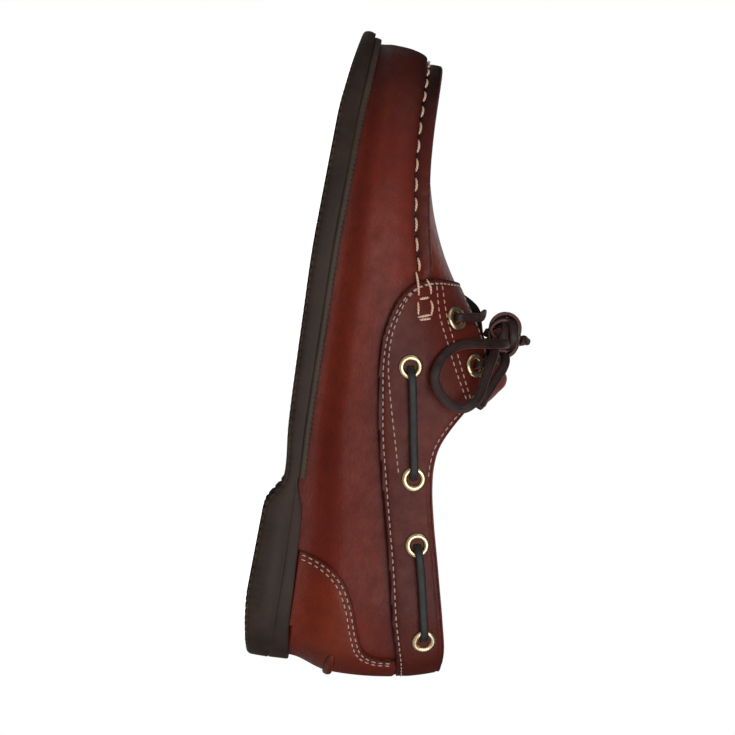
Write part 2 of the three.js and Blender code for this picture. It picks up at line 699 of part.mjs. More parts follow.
// The lace from a back facing eyelet up to the knot.
function laceLead(surface, side) {
  const hole = FACING_EYELETS[1];
  const start = seat(surface, hole.x, hole.z, side);
  const dip = (depth) => start.point.clone().addScaledVector(start.normal, depth);
  const end = new THREE.Vector3(KNOT.x - 8.2, KNOT.y + 4 * side, KNOT.z - 3.6);
  const middle = dip(3.4).lerp(end, 0.5).add(new THREE.Vector3(0, 0, 2.6));
  const path = [dip(-2.6), dip(1.0), dip(3.4), middle, end];
  return laceBody(path, new THREE.Vector3(0.9, -0.4 * side, 0), LACE_WIDTH, LACE_DEPTH);
}

function makeKnot() {
  const geometry = new THREE.SphereGeometry(0.5, 10, 7);
  geometry.scale(KNOT.long, KNOT.wide, KNOT.high);
  geometry.translate(KNOT.x, KNOT.y, KNOT.z);
  return solid(geometry);
}

function makeCord(route) {
  const curve = new THREE.CatmullRomCurve3(route.map((p) => new THREE.Vector3(...p)));
  const section = new THREE.Shape(Array.from({ length: 8 }, (_, i) => {
    const turn = (i / 8) * 2 * Math.PI;
    return new THREE.Vector2(Math.cos(turn), Math.sin(turn)).multiplyScalar(CORD_WIDTH / 2);
  }));
  const steps = Math.ceil(curve.getLength() / (2 * CORD_WIDTH));
  return solid(new THREE.ExtrudeGeometry(section, { steps, extrudePath: curve }));
}

// ---- assembly ----------------------------------------------------------------------------
const LEATHER = { color: '#6b2a22', roughness: 0.45, metalness: 0 };
const SADDLE_LEATHER = { color: '#551f1a', roughness: 0.45, metalness: 0 };
const RUBBER = { color: '#38302a', roughness: 0.7, metalness: 0 };
const TONGUE_LEATHER = { color: '#2a1f1c', roughness: 0.6, metalness: 0 };
const BRASS = { color: '#d9bd7c', roughness: 0.25, metalness: 1 };
const LACE = { color: '#2d2926', roughness: 0.7, metalness: 0 };
const LINING = { color: '#2b2522', roughness: 0.9, metalness: 0 };

const shoe = new THREE.Group();

function place(name, piece, look) {
  const mesh = new THREE.Mesh(geometryOf(piece), new THREE.MeshStandardMaterial(look));
  mesh.name = name;
  shoe.add(mesh);
}

const SIDES = [{ name: 'outer', sign: 1 }, { name: 'inner', sign: -1 }];
const faceMesh = new THREE.Mesh(geometryOf(form(GAP + OVERLAY)));
const facePlace = (hole, side) => seat(faceMesh, hole.x, hole.z, side.sign);
const holes = SIDES.flatMap((side) => [...SIDE_EYELETS, ...FACING_EYELETS].map((hole) => (
  { name: `eyelet_${side.name}_${hole.name}`, place: facePlace(hole, side) })));
const punches = holes.map((hole) => punchAt(hole.place));
const opening = topOpening();

place('outsole', makeOutsole(), RUBBER);
place('welt', makeWelt(), RUBBER);
place('insole', makeInsole(), LINING);
place('upper', makeUpper(opening, punches), LEATHER);
place('saddle', makeSaddle(opening, punches), SADDLE_LEATHER);
place('heel_counter', makeCounter(), LEATHER);
place('heel_ridge', makeHeelRidge(), LEATHER);
place('tongue', makeTongue(), TONGUE_LEATHER);

for (const hole of holes) {
  const mesh = new THREE.Mesh(eyeletGeometry(), new THREE.MeshStandardMaterial(BRASS));
  mesh.name = hole.name;
  mesh.quaternion.copy(turnTo(hole.place.normal));
  mesh.position.copy(hole.place.point);
  shoe.add(mesh);
}

for (const side of SIDES) {
  const [a, b, c, d] = SIDE_EYELETS;
  place(`lace_${side.name}_front`, laceRun(faceMesh, a, b, side.sign), LACE);
  place(`lace_${side.name}_back`, laceRun(faceMesh, c, d, side.sign), LACE);
}

place('lace_crossing', laceCrossing(faceMesh), LACE);
for (const side of SIDES) place(`lace_${side.name}_lead`, laceLead(faceMesh, side.sign), LACE);

// The origin lies under the middle of the shoe without its bow, on the floor.
const middle = new THREE.Box3().setFromObject(shoe).getCenter(new THREE.Vector3());
shoe.position.set(-middle.x, -middle.y, 0);

place('bow_knot', makeKnot(), LACE);
for (const run of BOW) place(run.name, makeCord(run.route), LACE);

export default shoe;
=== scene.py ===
"""Boat shoe, left: the visible pieces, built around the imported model.

Sizes are millimetres while a piece is worked out, with x from the back of the heel to the toe,
y to the outer side and z up from the floor; one function moves them into the frame, in metres.
Every leather piece comes from one form, the last, which repeats the part's own tables.
"""

import math

import bpy
import numpy as np
from mathutils import Matrix, Vector
from mathutils.bvhtree import BVHTree


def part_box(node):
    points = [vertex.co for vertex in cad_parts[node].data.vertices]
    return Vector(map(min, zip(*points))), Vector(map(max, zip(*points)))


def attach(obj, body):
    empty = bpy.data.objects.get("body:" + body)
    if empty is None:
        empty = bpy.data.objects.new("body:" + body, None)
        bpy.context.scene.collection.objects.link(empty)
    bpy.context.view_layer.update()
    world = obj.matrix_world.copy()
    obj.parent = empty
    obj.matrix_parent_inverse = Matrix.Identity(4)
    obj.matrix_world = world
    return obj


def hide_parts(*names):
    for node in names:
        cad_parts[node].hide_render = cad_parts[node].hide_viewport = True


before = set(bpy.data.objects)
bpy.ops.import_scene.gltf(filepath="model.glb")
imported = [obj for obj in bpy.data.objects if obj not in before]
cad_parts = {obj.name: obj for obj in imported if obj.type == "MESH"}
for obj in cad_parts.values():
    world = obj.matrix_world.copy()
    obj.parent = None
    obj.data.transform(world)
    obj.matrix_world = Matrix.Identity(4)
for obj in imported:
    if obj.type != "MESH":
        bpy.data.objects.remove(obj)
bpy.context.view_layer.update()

bl_info = {
    "name": "Boat Shoe",
    "version": (1, 0, 0),
    "blender": (4, 5, 0),
    "location": "View3D > Sidebar > Shoe",
    "description": "Builds a leather boat shoe around its packed frame",
    "category": "Add Mesh",
}

# ---- driving sizes (mm) -------------------------------------------------------------------
MM = 0.001
LENGTH = 298.0
BALL_WIDTH = 103.0
HEEL_HEIGHT = 96.0
WALL = 2.0
OVERLAY = 1.5
GAP = 0.3
FEATHER = 5.0
STRAIGHT = 0.3
INSOLE_HEIGHT = 3.6
FAN_TOE = (212.0, 43.0)
FAN_HEEL = (80.0, 40.0)
SURFACE = GAP + OVERLAY  # height of an overlay's face above the form

# Outline of the sole: share of the length, then the outer and inner side in ball widths.
OUTLINE = [
    (0.000, 0.000, 0.000), (0.014, 0.152, -0.150), (0.052, 0.262, -0.260),
    (0.112, 0.325, -0.322), (0.174, 0.336, -0.330), (0.235, 0.334, -0.316),
    (0.289, 0.338, -0.298), (0.369, 0.356, -0.282), (0.453, 0.394, -0.292),
    (0.537, 0.438, -0.334), (0.621, 0.480, -0.406), (0.705, 0.498, -0.478),
    (0.779, 0.478, -0.502), (0.846, 0.425, -0.480), (0.903, 0.342, -0.424),
    (0.946, 0.248, -0.350), (0.980, 0.128, -0.246), (1.000, -0.062, -0.062),
]
# Heights of the outsole: share of the length, underside, seat and rim.
SOLE = [
    (0.000, 5.0, 17.0, 25.0), (0.027, 3.0, 16.8, 23.6), (0.067, 1.0, 16.5, 22.0),
    (0.107, 0.0, 16.2, 21.2), (0.165, 0.0, 15.6, 20.0), (0.235, 0.0, 14.6, 18.4),
    (0.289, 7.0, 13.8, 13.8), (0.369, 4.4, 12.2, 12.2), (0.453, 2.8, 11.2, 11.2),
    (0.537, 1.5, 10.3, 10.3), (0.621, 0.3, 9.4, 9.4), (0.665, 0.0, 9.1, 9.1),
    (0.846, 0.0, 9.1, 9.1), (0.925, 1.6, 9.8, 9.8), (1.000, 4.6, 10.6, 10.6),
]
UNDER, SEAT, RIM = 1, 2, 3
# The last: share of the length, lean (mm), power, and bulge, crown and seam in heel heights.
LAST = [
    (0.000, 4.2, 2.00, 0.469, 1.271, 0.812), (0.100, 4.4, 2.15, 0.448, 1.271, 0.792),
    (0.200, 4.4, 2.25, 0.417, 1.250, 0.750), (0.300, 4.6, 2.35, 0.354, 1.156, 0.667),
    (0.380, 4.6, 2.35, 0.312, 1.104, 0.625), (0.450, 4.4, 2.15, 0.292, 1.062, 0.583),
    (0.500, 4.2, 1.98, 0.281, 1.000, 0.573), (0.555, 4.0, 1.88, 0.271, 0.906, 0.542),
    (0.625, 3.6, 1.94, 0.260, 0.734, 0.505), (0.680, 3.2, 2.20, 0.250, 0.625, 0.458),
    (0.740, 3.0, 2.60, 0.240, 0.542, 0.422), (0.810, 2.6, 3.00, 0.229, 0.479, 0.391),
    (0.890, 2.0, 3.30, 0.219, 0.443, 0.375), (1.000, 0.8, 3.50, 0.208, 0.427, 0.370),
]
LEAN, POWER, BULGE, CROWN, SEAM = 1, 2, 3, 4, 5
# Edges seen from the side, x from the heel and z.
COLLAR = [
    (-12, 97), (4, 96.6), (19, 95.6), (32, 92.2), (46, 88.2), (60, 84.2), (78, 79), (92, 75.6),
    (103, 74.2), (112, 75), (121, 78.6), (130, 83.6), (140, 88.8), (147, 91.6), (153, 93), (157, 97),
]
SADDLE_EDGE = [
    (-12, 77), (5, 75), (30, 67), (52, 61.4), (80, 53.7), (95, 49.6), (112, 45.1), (128, 41.9),
    (145, 38.8), (158, 38.2), (171, 40.4), (179, 43.8), (184, 48.4), (187, 54), (188, 60), (188, 90),
]
COUNTER_EDGE = [
    (55.5, 10), (54.5, 22), (51, 34), (44.5, 43), (34, 49.5), (21, 54.6), (14, 58.6), (11.8, 64),
    (12.4, 72), (12.6, 80),
]
# Throat slot: x and half width, about the middle of the crown.
THROAT = [(140, 16), (152, 13), (160, 11), (178, 10), (184, 8), (187, 3.5)]
# Height of the gathered rim of the vamp over its seam, along x.
RIDGE = [(185, 0.0), (190, 3.2), (198, 4.2), (298, 5.0)]
STITCH_RAISE = 3.0   # the stitches lie this far up the wall from the form's seam
# Tongue: x, half width, how far its middle puffs up, and how wide the puff is.
TONGUE_ROWS = [
    (203, 17, 0, 8), (196, 18, 0, 8), (187, 19, 0, 8), (184.4, 20, 5.6, 6), (182, 20, 8.8, 7.6),
    (179, 20, 10.2, 10), (174, 21, 8, 10.5), (166, 21, 4.6, 10.5), (158, 21, 5.8, 11),
    (154.5, 20.5, 8, 12), (150, 20, 9.4, 13), (146, 19, 7.6, 14), (142, 16.5, 3.2, 14),
    (138, 13, -1.2, 14), (134.5, 8, -6, 14),
]
SIDE_EYELETS = {"a": (146.0, 54.0), "b": (96.0, 65.3), "c": (66.5, 72.6), "d": (23.6, 84.2)}
FACING_EYELETS = {"e": (171.5, 70.6), "f": (152.0, 83.4)}
SIDES = {"outer": 1, "inner": -1}
# Free runs of the bow, from the knot along each loop and each end.
KNOT = {"x": 169.0, "y": 2.0, "z": 96.0, "long": 17.0, "wide": 16.0, "high": 16.4}
BOW = {
    "bow_loop_outer": [
        (166, 12.8, 92.2), (163.6, 17, 91.9), (158.9, 25.4, 91.4), (153.8, 31.6, 90.2),
        (147.5, 35.6, 88.8), (141.6, 38, 88), (136.8, 40.8, 86.4), (133.4, 42.2, 83.6),
        (131.7, 42.6, 80.6), (131.9, 42.6, 77), (134.3, 42.6, 72.3), (137.8, 42.3, 68.3),
        (142.6, 42, 65.9), (147.6, 41.4, 65.9), (153, 39.4, 67.8), (157.7, 36.4, 71.5),
        (160.5, 33, 76.4), (162, 29.4, 82.2), (163, 25.4, 88.2), (164.2, 19.4, 94.2),
        (165, 13.6, 97.6),
    ],
    "bow_loop_inner": [
        (167.4, -6.8, 98.4), (166, -13, 95.5), (164.2, -19.6, 89.5), (161.6, -26.4, 82),
        (158, -30.6, 74.6), (152.6, -33, 69.6), (146, -33.4, 68.4), (140, -32.2, 71),
        (136.4, -30, 76), (136.4, -26.6, 82.6), (140.4, -22.6, 88.8), (147, -18.6, 93),
        (154.4, -14.2, 95.8), (160.4, -9.2, 97),
    ],
    "lace_end_outer": [
        (168.6, 0.6, 104.9), (168.4, -3.4, 107.4), (167.8, -8.8, 105.8), (167.4, -14, 101.6),
        (168, -19, 95.8), (169.4, -23.2, 88.6),
    ],
    "lace_end_inner": [
        (160.2, 13.2, 97.2), (156.6, 17, 97.8), (152, 21, 96.6), (146.6, 24.6, 94), (141, 27.6, 91.6),
        (136.6, 29.6, 89.6), (133.4, 31.4, 88.4),
    ],
}


# ---- curves -------------------------------------------------------------------------------
def along(rows, column, at):
    """Monotone cubic through one column of a table whose first column is the place."""
    keys = np.array([row[0] for row in rows], float)
    values = np.array([row[column] for row in rows], float)
    at = np.clip(np.asarray(at, float), keys[0], keys[-1])
    slope = np.diff(values) / np.diff(keys)
    tangent = np.concatenate([slope[:1], np.zeros(len(keys) - 2), slope[-1:]])
    product = slope[:-1] * slope[1:]
    total = np.where(product > 0, slope[:-1] + slope[1:], 1.0)
    tangent[1:-1] = np.where(product > 0, 2 * product / total, 0.0)
    i = np.clip(np.searchsorted(keys, at, side="right") - 1, 0, len(keys) - 2)
    run = keys[i + 1] - keys[i]
    t = (at - keys[i]) / run
    bend = run * (tangent[i] * (1 - t) - tangent[i + 1] * t)
    start, end = values[i], values[i + 1]
    return start + (end - start) * t * t * (3 - 2 * t) + bend * t * (1 - t)


def last(column, x):
    """One column of the last at a distance from the heel."""
    return along(LAST, column, np.asarray(x) / LENGTH)


def height(column, x):
    """A height of the last, in millimetres."""
    return last(column, x) * HEEL_HEIGHT


def sole(column, x):
    """One height of the outsole at a distance from the heel."""
    return along(SOLE, column, np.asarray(x) / LENGTH)


def smoothstep(low, high, value):
    """0 below low, 1 above high, eased between."""
    t = np.clip((np.asarray(value, float) - low) / (high - low), 0, 1)
    return t * t * (3 - 2 * t)


def spline(points, places, closed=False):
    """Centripetal Catmull-Rom curve through points, at places counted in spans."""
    points = np.array(points, float)
    count = len(points)
    if closed:
        wrapped = np.vstack([points[-1:], points, points[:2]])
    else:
        before = 2 * points[:1] - points[1:2]
        after = 2 * points[-1:] - points[-2:-1]
        wrapped = np.vstack([before, points, after, after])
    places = np.asarray(places, float)
    spans = count if closed else count - 1
    i = np.clip(np.floor(places).astype(int), 0, spans - 1)
    t = (places - i)[:, None]
    p0, p1, p2, p3 = (wrapped[i + j] for j in range(4))
    d0, d1, d2 = (
        np.sqrt(np.linalg.norm(b - a, axis=1))[:, None] for a, b in ((p0, p1), (p1, p2), (p2, p3))
    )
    m1 = ((p1 - p0) / d0 - (p2 - p0) / (d0 + d1) + (p2 - p1) / d1) * d1
    m2 = ((p2 - p1) / d1 - (p3 - p1) / (d1 + d2) + (p3 - p2) / d2) * d1
    c2 = 3 * (p2 - p1) - 2 * m1 - m2
    c3 = 2 * (p1 - p2) + m1 + m2
    return p1 + m1 * t + c2 * t**2 + c3 * t**3


def smooth_line(points, per_span=8, closed=False):
    """The curve through points with even steps in each span."""
    spans = len(points) if closed else len(points) - 1
    places = np.arange(spans * per_span + (0 if closed else 1)) / per_span
    return spline(points, places, closed)


def even_line(points, step):
    """A polyline walked in equal steps; the last step ends on the last point."""
    points = np.asarray(points, float)
    walked = np.concatenate([[0], np.cumsum(np.linalg.norm(np.diff(points, axis=0), axis=1))])
    count = max(2, int(round(walked[-1] / step)) + 1)
    at = np.linspace(0, walked[-1], count)
    return np.stack([np.interp(at, walked, points[:, c]) for c in range(points.shape[1])], axis=1)


def unit(vectors):
    """Vectors at length one, along the last axis."""
    size = np.linalg.norm(vectors, axis=-1, keepdims=True)
    return vectors / np.maximum(size, 1e-9)


def length_of(points):
    """Length of a polyline."""
    return float(np.linalg.norm(np.diff(np.asarray(points, float), axis=0), axis=1).sum())


# ---- outline and columns ------------------------------------------------------------------
OUTLINE_POINTS = [(at * LENGTH, outer * BALL_WIDTH) for at, outer, inner in OUTLINE] + [
    (at * LENGTH, inner * BALL_WIDTH) for at, outer, inner in OUTLINE[-2:0:-1]
]
SPANS = len(OUTLINE) - 1


class Columns:
    """Places round the outline, about a step apart; column k faces column count - k."""

    def __init__(self, step):
        places = [0.0]
        for span in range(SPANS):
            ends = spline(OUTLINE_POINTS, [span, span + 0.999], closed=True)
            parts = max(3, int(round(np.linalg.norm(ends[1] - ends[0]) / step)))
            places += [span + (i + 1) / parts for i in range(parts)]
        places = np.array(places)
        mirrored = 2 * SPANS - places[-2:0:-1]
        every = np.concatenate([places, mirrored])
        self.count = len(every)
        self.point = spline(OUTLINE_POINTS, every, closed=True)
        tiny = 1e-3
        ahead = spline(OUTLINE_POINTS, np.mod(every + tiny, 2 * SPANS), closed=True)
        behind = spline(OUTLINE_POINTS, np.mod(every - tiny, 2 * SPANS), closed=True)
        tangent = unit(ahead - behind)
        self.inward = np.stack([tangent[:, 1], -tangent[:, 0]], axis=1)
        self.facing = (self.count - np.arange(self.count)) % self.count
        steps = np.linalg.norm(np.roll(self.point, -1, axis=0) - self.point, axis=1)
        self.walked = np.concatenate([[0], np.cumsum(steps)[:-1]])
        self.round = float(steps.sum())

    @property
    def x(self):
        return self.point[:, 0]

    def inset(self, inset, z):
        """A ring of points at an inset from the outline and a height."""
        flat = self.point + self.inward * np.broadcast_to(inset, self.count)[:, None]
        return np.column_stack([flat, np.broadcast_to(z, self.count)])


def shift_to_frame():
    """Where the back of the heel lies in the frame (mm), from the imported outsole."""
    low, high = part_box("outsole")
    cad_columns = spline(OUTLINE_POINTS, np.arange(4 * SPANS) / 2, closed=True)
    middle = (cad_columns[:, 1].min() + cad_columns[:, 1].max()) / 2
    return np.array([low.x / MM, (low.y + high.y) / 2 / MM - middle, 0.0])


SHIFT = shift_to_frame()


def to_frame(points):
    """Points in the shoe's own millimetres as metres in the frame."""
    return (np.asarray(points, float) + SHIFT) * MM


# ---- the last -----------------------------------------------------------------------------
def crown_x(x):
    """Where a column of the wall meets the crown: gathered to a point at toe and heel."""
    toe = np.maximum(0, (x - FAN_TOE[0]) / (LENGTH - FAN_TOE[0]))
    heel = np.maximum(0, (FAN_HEEL[0] - x) / FAN_HEEL[0])
    return x - FAN_TOE[1] * toe**2 + FAN_HEEL[1] * heel**2


def wall_point(columns, stretch, t):
    """Points of the form: stretch 0 is feather to bulge, 1 bulge to seam, 2 seam to crown."""
    x = columns.x
    low = sole(SEAT, x) + GAP
    bulge = height(BULGE, x)
    lean = last(LEAN, x)
    if stretch == 0:
        turn = math.pi * np.maximum(0, t - STRAIGHT) / (1 - STRAIGHT)
        return columns.inset(FEATHER - lean * (1 - np.cos(turn)) / 2, low + (bulge - low) * t)
    facing = columns.point[columns.facing]
    top_x = crown_x(x)
    crown = height(CROWN, top_x)
    top = np.column_stack([top_x, (columns.point[:, 1] + facing[:, 1]) / 2])
    start = columns.inset(FEATHER - lean, bulge)[:, :2]
    power = last(POWER, x)
    seam_turn = np.arcsin(((height(SEAM, x) - bulge) / (crown - bulge)) ** (power / 2))
    turn = seam_turn * t if stretch == 1 else seam_turn + (math.pi / 2 - seam_turn) * t
    rise = np.sin(turn) ** (2 / power)
    reach = 1 - np.maximum(0, np.cos(turn)) ** (2 / power)
    flat = start + (top - start) * reach[:, None]
    return np.column_stack([flat, bulge + (crown - bulge) * rise])


# Rows past the moccasin seam: distance from it along the wall, share of the rim's height, and
# how far out of the wall the row stands. The rows past the seam climb the rim, cross its raw
# edge and come down behind it onto the plug.
SEAM_ROWS = [
    (-9.0, 0, 0.0), (-7.4, 0, 0.05), (-6.0, 0, 0.15), (-4.8, 0, 0.30), (-3.8, 0, 0.42),
    (-3.0, 0, 0.45), (-2.3, 0, 0.34), (-1.7, 0, 0.06), (-1.2, 0, -0.40), (-0.7, 0, -0.95),
    (-0.3, 0, -1.25), (0.0, 0, -1.35), (0.35, 0.01, -1.25), (0.7, 0.04, -0.95),
    (1.0, 0.10, -0.45), (1.2, 0.20, -0.05), (1.3, 0.36, 0.12), (1.4, 0.55, 0.16),
    (1.5, 0.75, 0.16), (1.6, 0.90, 0.12), (1.8, 0.98, 0.02), (2.3, 1.0, 0.0), (2.9, 1.0, 0.0),
    (3.4, 0.97, 0.0), (3.6, 0.88, 0.0), (3.7, 0.7, 0.0), (3.75, 0.4, 0.0), (3.8, 0.1, -0.2),
    (4.1, 0.0, -0.5), (4.8, 0.0, -0.25), (6.0, 0.0, 0.0),
]
LOW_ROWS = 30
HIGH_ROWS = 34
MOC_PITCH = 9.1


class Form:
    """The last as a grid of points and normals, with rows gathered about the seam."""

    def __init__(self, step=1.5):
        self.columns = Columns(step)
        dense = [wall_point(self.columns, 0, t) for t in np.linspace(0, 1, 40)[:-1]]
        dense += [wall_point(self.columns, 1, t) for t in np.linspace(0, 1, 50)[:-1]]
        seam = len(dense)
        dense += [wall_point(self.columns, 2, t) for t in np.linspace(0, 1, 160) ** 1.15]
        dense = np.array(dense)
        steps = np.linalg.norm(np.diff(dense, axis=0), axis=2)
        walked = np.concatenate([np.zeros((1, self.columns.count)), np.cumsum(steps, axis=0)])
        walked -= walked[seam] + STITCH_RAISE
        near, far = SEAM_ROWS[0][0], SEAM_ROWS[-1][0]
        wanted = []
        for i in range(LOW_ROWS):
            wanted.append(walked[0] + (near - walked[0]) * i / LOW_ROWS)
        for distance, _, _ in SEAM_ROWS:
            wanted.append(np.full(self.columns.count, distance))
        for i in range(HIGH_ROWS):
            share = (i + 1) / HIGH_ROWS
            wanted.append(far + (walked[-1] - far) * share)
        self.distance = np.array(wanted)
        self.points = np.empty(self.distance.shape + (3,))
        for k in range(self.columns.count):
            for c in range(3):
                self.points[:, k, c] = np.interp(self.distance[:, k], walked[:, k], dense[:, k, c])
        self.seam_row = LOW_ROWS + [row[0] for row in SEAM_ROWS].index(0.0)
        self.first_seam_row = LOW_ROWS
        self.normals = self.find_normals(self.points)

    def find_normals(self, points):
        """Outward normals of a grid, level along the feather edge."""
        up = np.empty_like(points)
        up[1:-1] = points[2:] - points[:-2]
        up[0] = points[1] - points[0]
        up[-1] = points[-1] - points[-2]
        side = np.roll(points, -1, axis=1) - np.roll(points, 1, axis=1)
        normals = unit(np.cross(up, side))
        x = points[-1, :, 0]
        slope = (height(CROWN, x + 1) - height(CROWN, x - 1)) / 2
        normals[-1] = unit(np.column_stack([-slope, np.zeros_like(x), np.ones_like(x)]))
        blend = 0.5 * (normals[-1] + normals[-3])
        normals[-2] = unit(blend)
        normals[0, :, 2] = 0
        normals[0] = unit(normals[0])
        return normals

    def crown_y(self, x):
        """Middle of the crown seen from above."""
        half = self.columns.count // 2
        places = np.arange(half + 1)
        facing = self.columns.facing[places]
        mids = (self.columns.point[places, 1] + self.columns.point[facing, 1]) / 2
        return np.interp(x, self.columns.point[places, 0], mids)

    def arch_z(self, x, y, inset):
        """Height of the form over a point of the plan, shrunk by an inset."""
        half = self.columns.count // 2
        places = np.arange(half + 1)
        facing = self.columns.facing[places]
        outline_x = self.columns.point[places, 0]
        width = (self.columns.point[places, 1] - self.columns.point[facing, 1]) / 2
        reach = np.interp(x, outline_x, width) - FEATHER + last(LEAN, x) - inset
        power = last(POWER, x)
        bulge = height(BULGE, x)
        share = np.minimum(1, np.abs(y - self.crown_y(x)) / reach)
        return bulge + (height(CROWN, x) - inset - bulge) * (1 - share**power) ** (1 / power)


FORM = Form()


# ---- cutting a sheet of leather -----------------------------------------------------------
def ring_faces(rings, count):
    """Quads between closed rings of count points each."""
    return [(r * count + k, r * count + (k + 1) % count,
             (r + 1) * count + (k + 1) % count, (r + 1) * count + k)
            for r in range(rings - 1) for k in range(count)]


class Leather:
    """A sheet cut from the form, or from a grid like it: vertex data and a list of faces.

    The data columns are the point (0-2), its normal (3-5) and then named measures.
    """

    def __init__(self, rows, measures, grid=None):
        count = FORM.columns.count
        picked = np.arange(rows[0], rows[1])
        grid = FORM.points if grid is None else grid
        points = grid[picked].reshape(-1, 3)
        normals = FORM.normals[picked].reshape(-1, 3)
        self.names = {name: 6 + i for i, name in enumerate(measures)}
        tables = [measures[name][picked].reshape(-1, 1) for name in measures]
        self.data = np.hstack([points, normals] + tables)
        self.faces = ring_faces(len(picked), count)

    def value(self, name):
        return self.data[:, self.names[name]]

    def cut(self, name, level=0.0, keep=True):
        """Adds an edge along a level of a measure; keep drops what lies below it."""
        values = self.data[:, self.names[name]] - level
        values[np.abs(values) < 1e-6] = 0
        pulled = set()
        for face in self.faces:
            for a, b in zip(face, face[1:] + face[:1]):
                if values[a] * values[b] < 0:
                    share = values[a] / (values[a] - values[b])
                    for one, other, t in ((a, b, share), (b, a, 1 - share)):
                        if t < 0.18 and one not in pulled and values[one] != 0:
                            self.data[one] += (self.data[other] - self.data[one]) * t
                            values[one] = 0
                            pulled.add(one)
                            break
        data = list(self.data)
        values = list(values)
        middle = {}
        faces = []
        for face in self.faces:
            signs = [values[v] for v in face]
            low, high = min(signs), max(signs)
            if low >= 0:
                if high > 0 or not keep:
                    faces.append(face)
                continue
            if high <= 0:
                if not keep:
                    faces.append(face)
                continue
            ring = []
            for a, b in zip(face, face[1:] + face[:1]):
                ring.append(a)
                if values[a] * values[b] < 0:
                    key = (min(a, b), max(a, b))
                    if key not in middle:
                        share = values[a] / (values[a] - values[b])
                        middle[key] = len(data)
                        data.append(data[a] + (data[b] - data[a]) * share)
                        values.append(0.0)
                    ring.append(middle[key])
            above = tuple(v for v in ring if values[v] >= 0)
            below = tuple(v for v in ring if values[v] <= 0)
            if len(above) > 2:
                faces.append(above)
            if not keep and len(below) > 2:
                faces.append(below)
        self.data = np.array(data)
        self.faces = faces
        if keep:
            self.prune()
        return self

    def prune(self):
        """Drops the vertices that no face uses."""
        used = sorted({v for face in self.faces for v in face})
        new = {v: i for i, v in enumerate(used)}
        self.data = self.data[used]
        self.faces = [tuple(new[v] for v in face) for face in self.faces]

    def weld(self, reach=0.02):
        """Joins vertices at the same place, such as both sides of the crown."""
        keys = {}
        new = {}
        for i, point in enumerate(np.round(self.data[:, :3] / reach).astype(int)):
            new[i] = keys.setdefault(tuple(point), i)
        faces = []
        for face in self.faces:
            ring = []
            for v in (new[v] for v in face):
                if v not in ring:
                    ring.append(v)
            if len(ring) > 2:
                faces.append(tuple(ring))
        self.faces = faces
        self.prune()
        return self

    def borders(self):
        """Loops of border vertices, each with the sheet on its left."""
        owners = {}
        for face in self.faces:
            for a, b in zip(face, face[1:] + face[:1]):
                owners[(a, b)] = True
        after = {}
        for a, b in owners:
            if (b, a) not in owners:
                after[a] = b
        loops = []
        while after:
            start = next(iter(after))
            loop = [start]
            step = after.pop(start)
            while step != start and step in after:
                loop.append(step)
                step = after.pop(step)
            if step == start and len(loop) > 3:
                loops.append(loop)
        return loops

    def outward(self, loop, reach=2.0):
        """Directions that leave the sheet across its border, smoothed along the border."""
        points = self.data[loop, :3]
        normals = self.data[loop, 3:6]
        steps = np.linalg.norm(np.roll(points, -1, axis=0) - points, axis=1)
        count = len(loop)
        ahead = points.copy()
        behind = points.copy()
        for i in range(count):
            gone, j = 0.0, i
            while gone < reach:
                gone += steps[j % count]
                j += 1
            ahead[i] = points[j % count]
            gone, j = 0.0, i
            while gone < reach:
                j -= 1
                gone += steps[j % count]
            behind[i] = points[j % count]
        return unit(np.cross(unit(ahead - behind), normals))

    def roll(self, profile_at):
        """Carries each border over an edge: profile_at(vertex data) gives (out, up) steps."""
        extra_faces = []
        marks = []
        for loop in self.borders():
            out = self.outward(loop)
            base = self.data[loop]
            profiles = [profile_at(row) for row in base]
            before = list(loop)
            for step in range(len(profiles[0])):
                ring = base.copy()
                moves = np.array([profile[step] for profile in profiles])
                ring[:, :3] += out * moves[:, :1] + base[:, 3:6] * moves[:, 1:]
                start = len(self.data)
                self.data = np.vstack([self.data, ring])
                now = [start + i for i in range(len(loop))]
                for i in range(len(loop)):
                    j = (i + 1) % len(loop)
                    extra_faces.append((before[j], before[i], now[i], now[j]))
                    marks.append(step)
                before = now
        first = len(self.faces)
        self.faces += extra_faces
        return first, marks


def line_measure(line, axes, closed=False):
    """Distance over the form's surface from a line drawn in a flat view, left side positive."""
    points = FORM.points
    flat = points[..., axes]
    line = np.asarray(line, float)
    ends = np.roll(line, -1, axis=0)
    if not closed:
        line, ends = line[:-1], ends[:-1]
    best = np.full(flat.shape[:2], 1e9)
    signed = np.zeros(flat.shape[:2])
    grown = np.zeros(flat.shape)
    within = np.zeros(flat.shape[:2], bool)
    for start, end in zip(line, ends):
        run = end - start
        if start[1] != end[1]:
            crossed = (start[1] > flat[..., 1]) != (end[1] > flat[..., 1])
            reach = run[0] * (flat[..., 1] - start[1]) / run[1] + start[0]
            within ^= crossed & (flat[..., 0] < reach)
        size = np.linalg.norm(run)
        if size < 1e-6:
            continue
        along_run = run / size
        left = np.array([-along_run[1], along_run[0]])
        offset = flat - start
        t = np.clip(offset @ along_run, 0, size)
        gap = offset - t[..., None] * along_run
        distance = np.linalg.norm(gap, axis=-1)
        closer = distance < best - 1e-9
        best = np.where(closer, distance, best)
        side = np.sign(offset @ left)
        signed = np.where(closer, distance * side, signed)
        grown = np.where(closer[..., None], left, grown)
    if closed:
        signed = np.where(within, np.abs(signed), -np.abs(signed))
    dot = (grown * FORM.normals[..., axes]).sum(axis=-1)
    return signed / np.sqrt(np.maximum(0.12, 1 - dot**2))


SIDE_VIEW = [0, 2]
PLAN_VIEW = [0, 1]


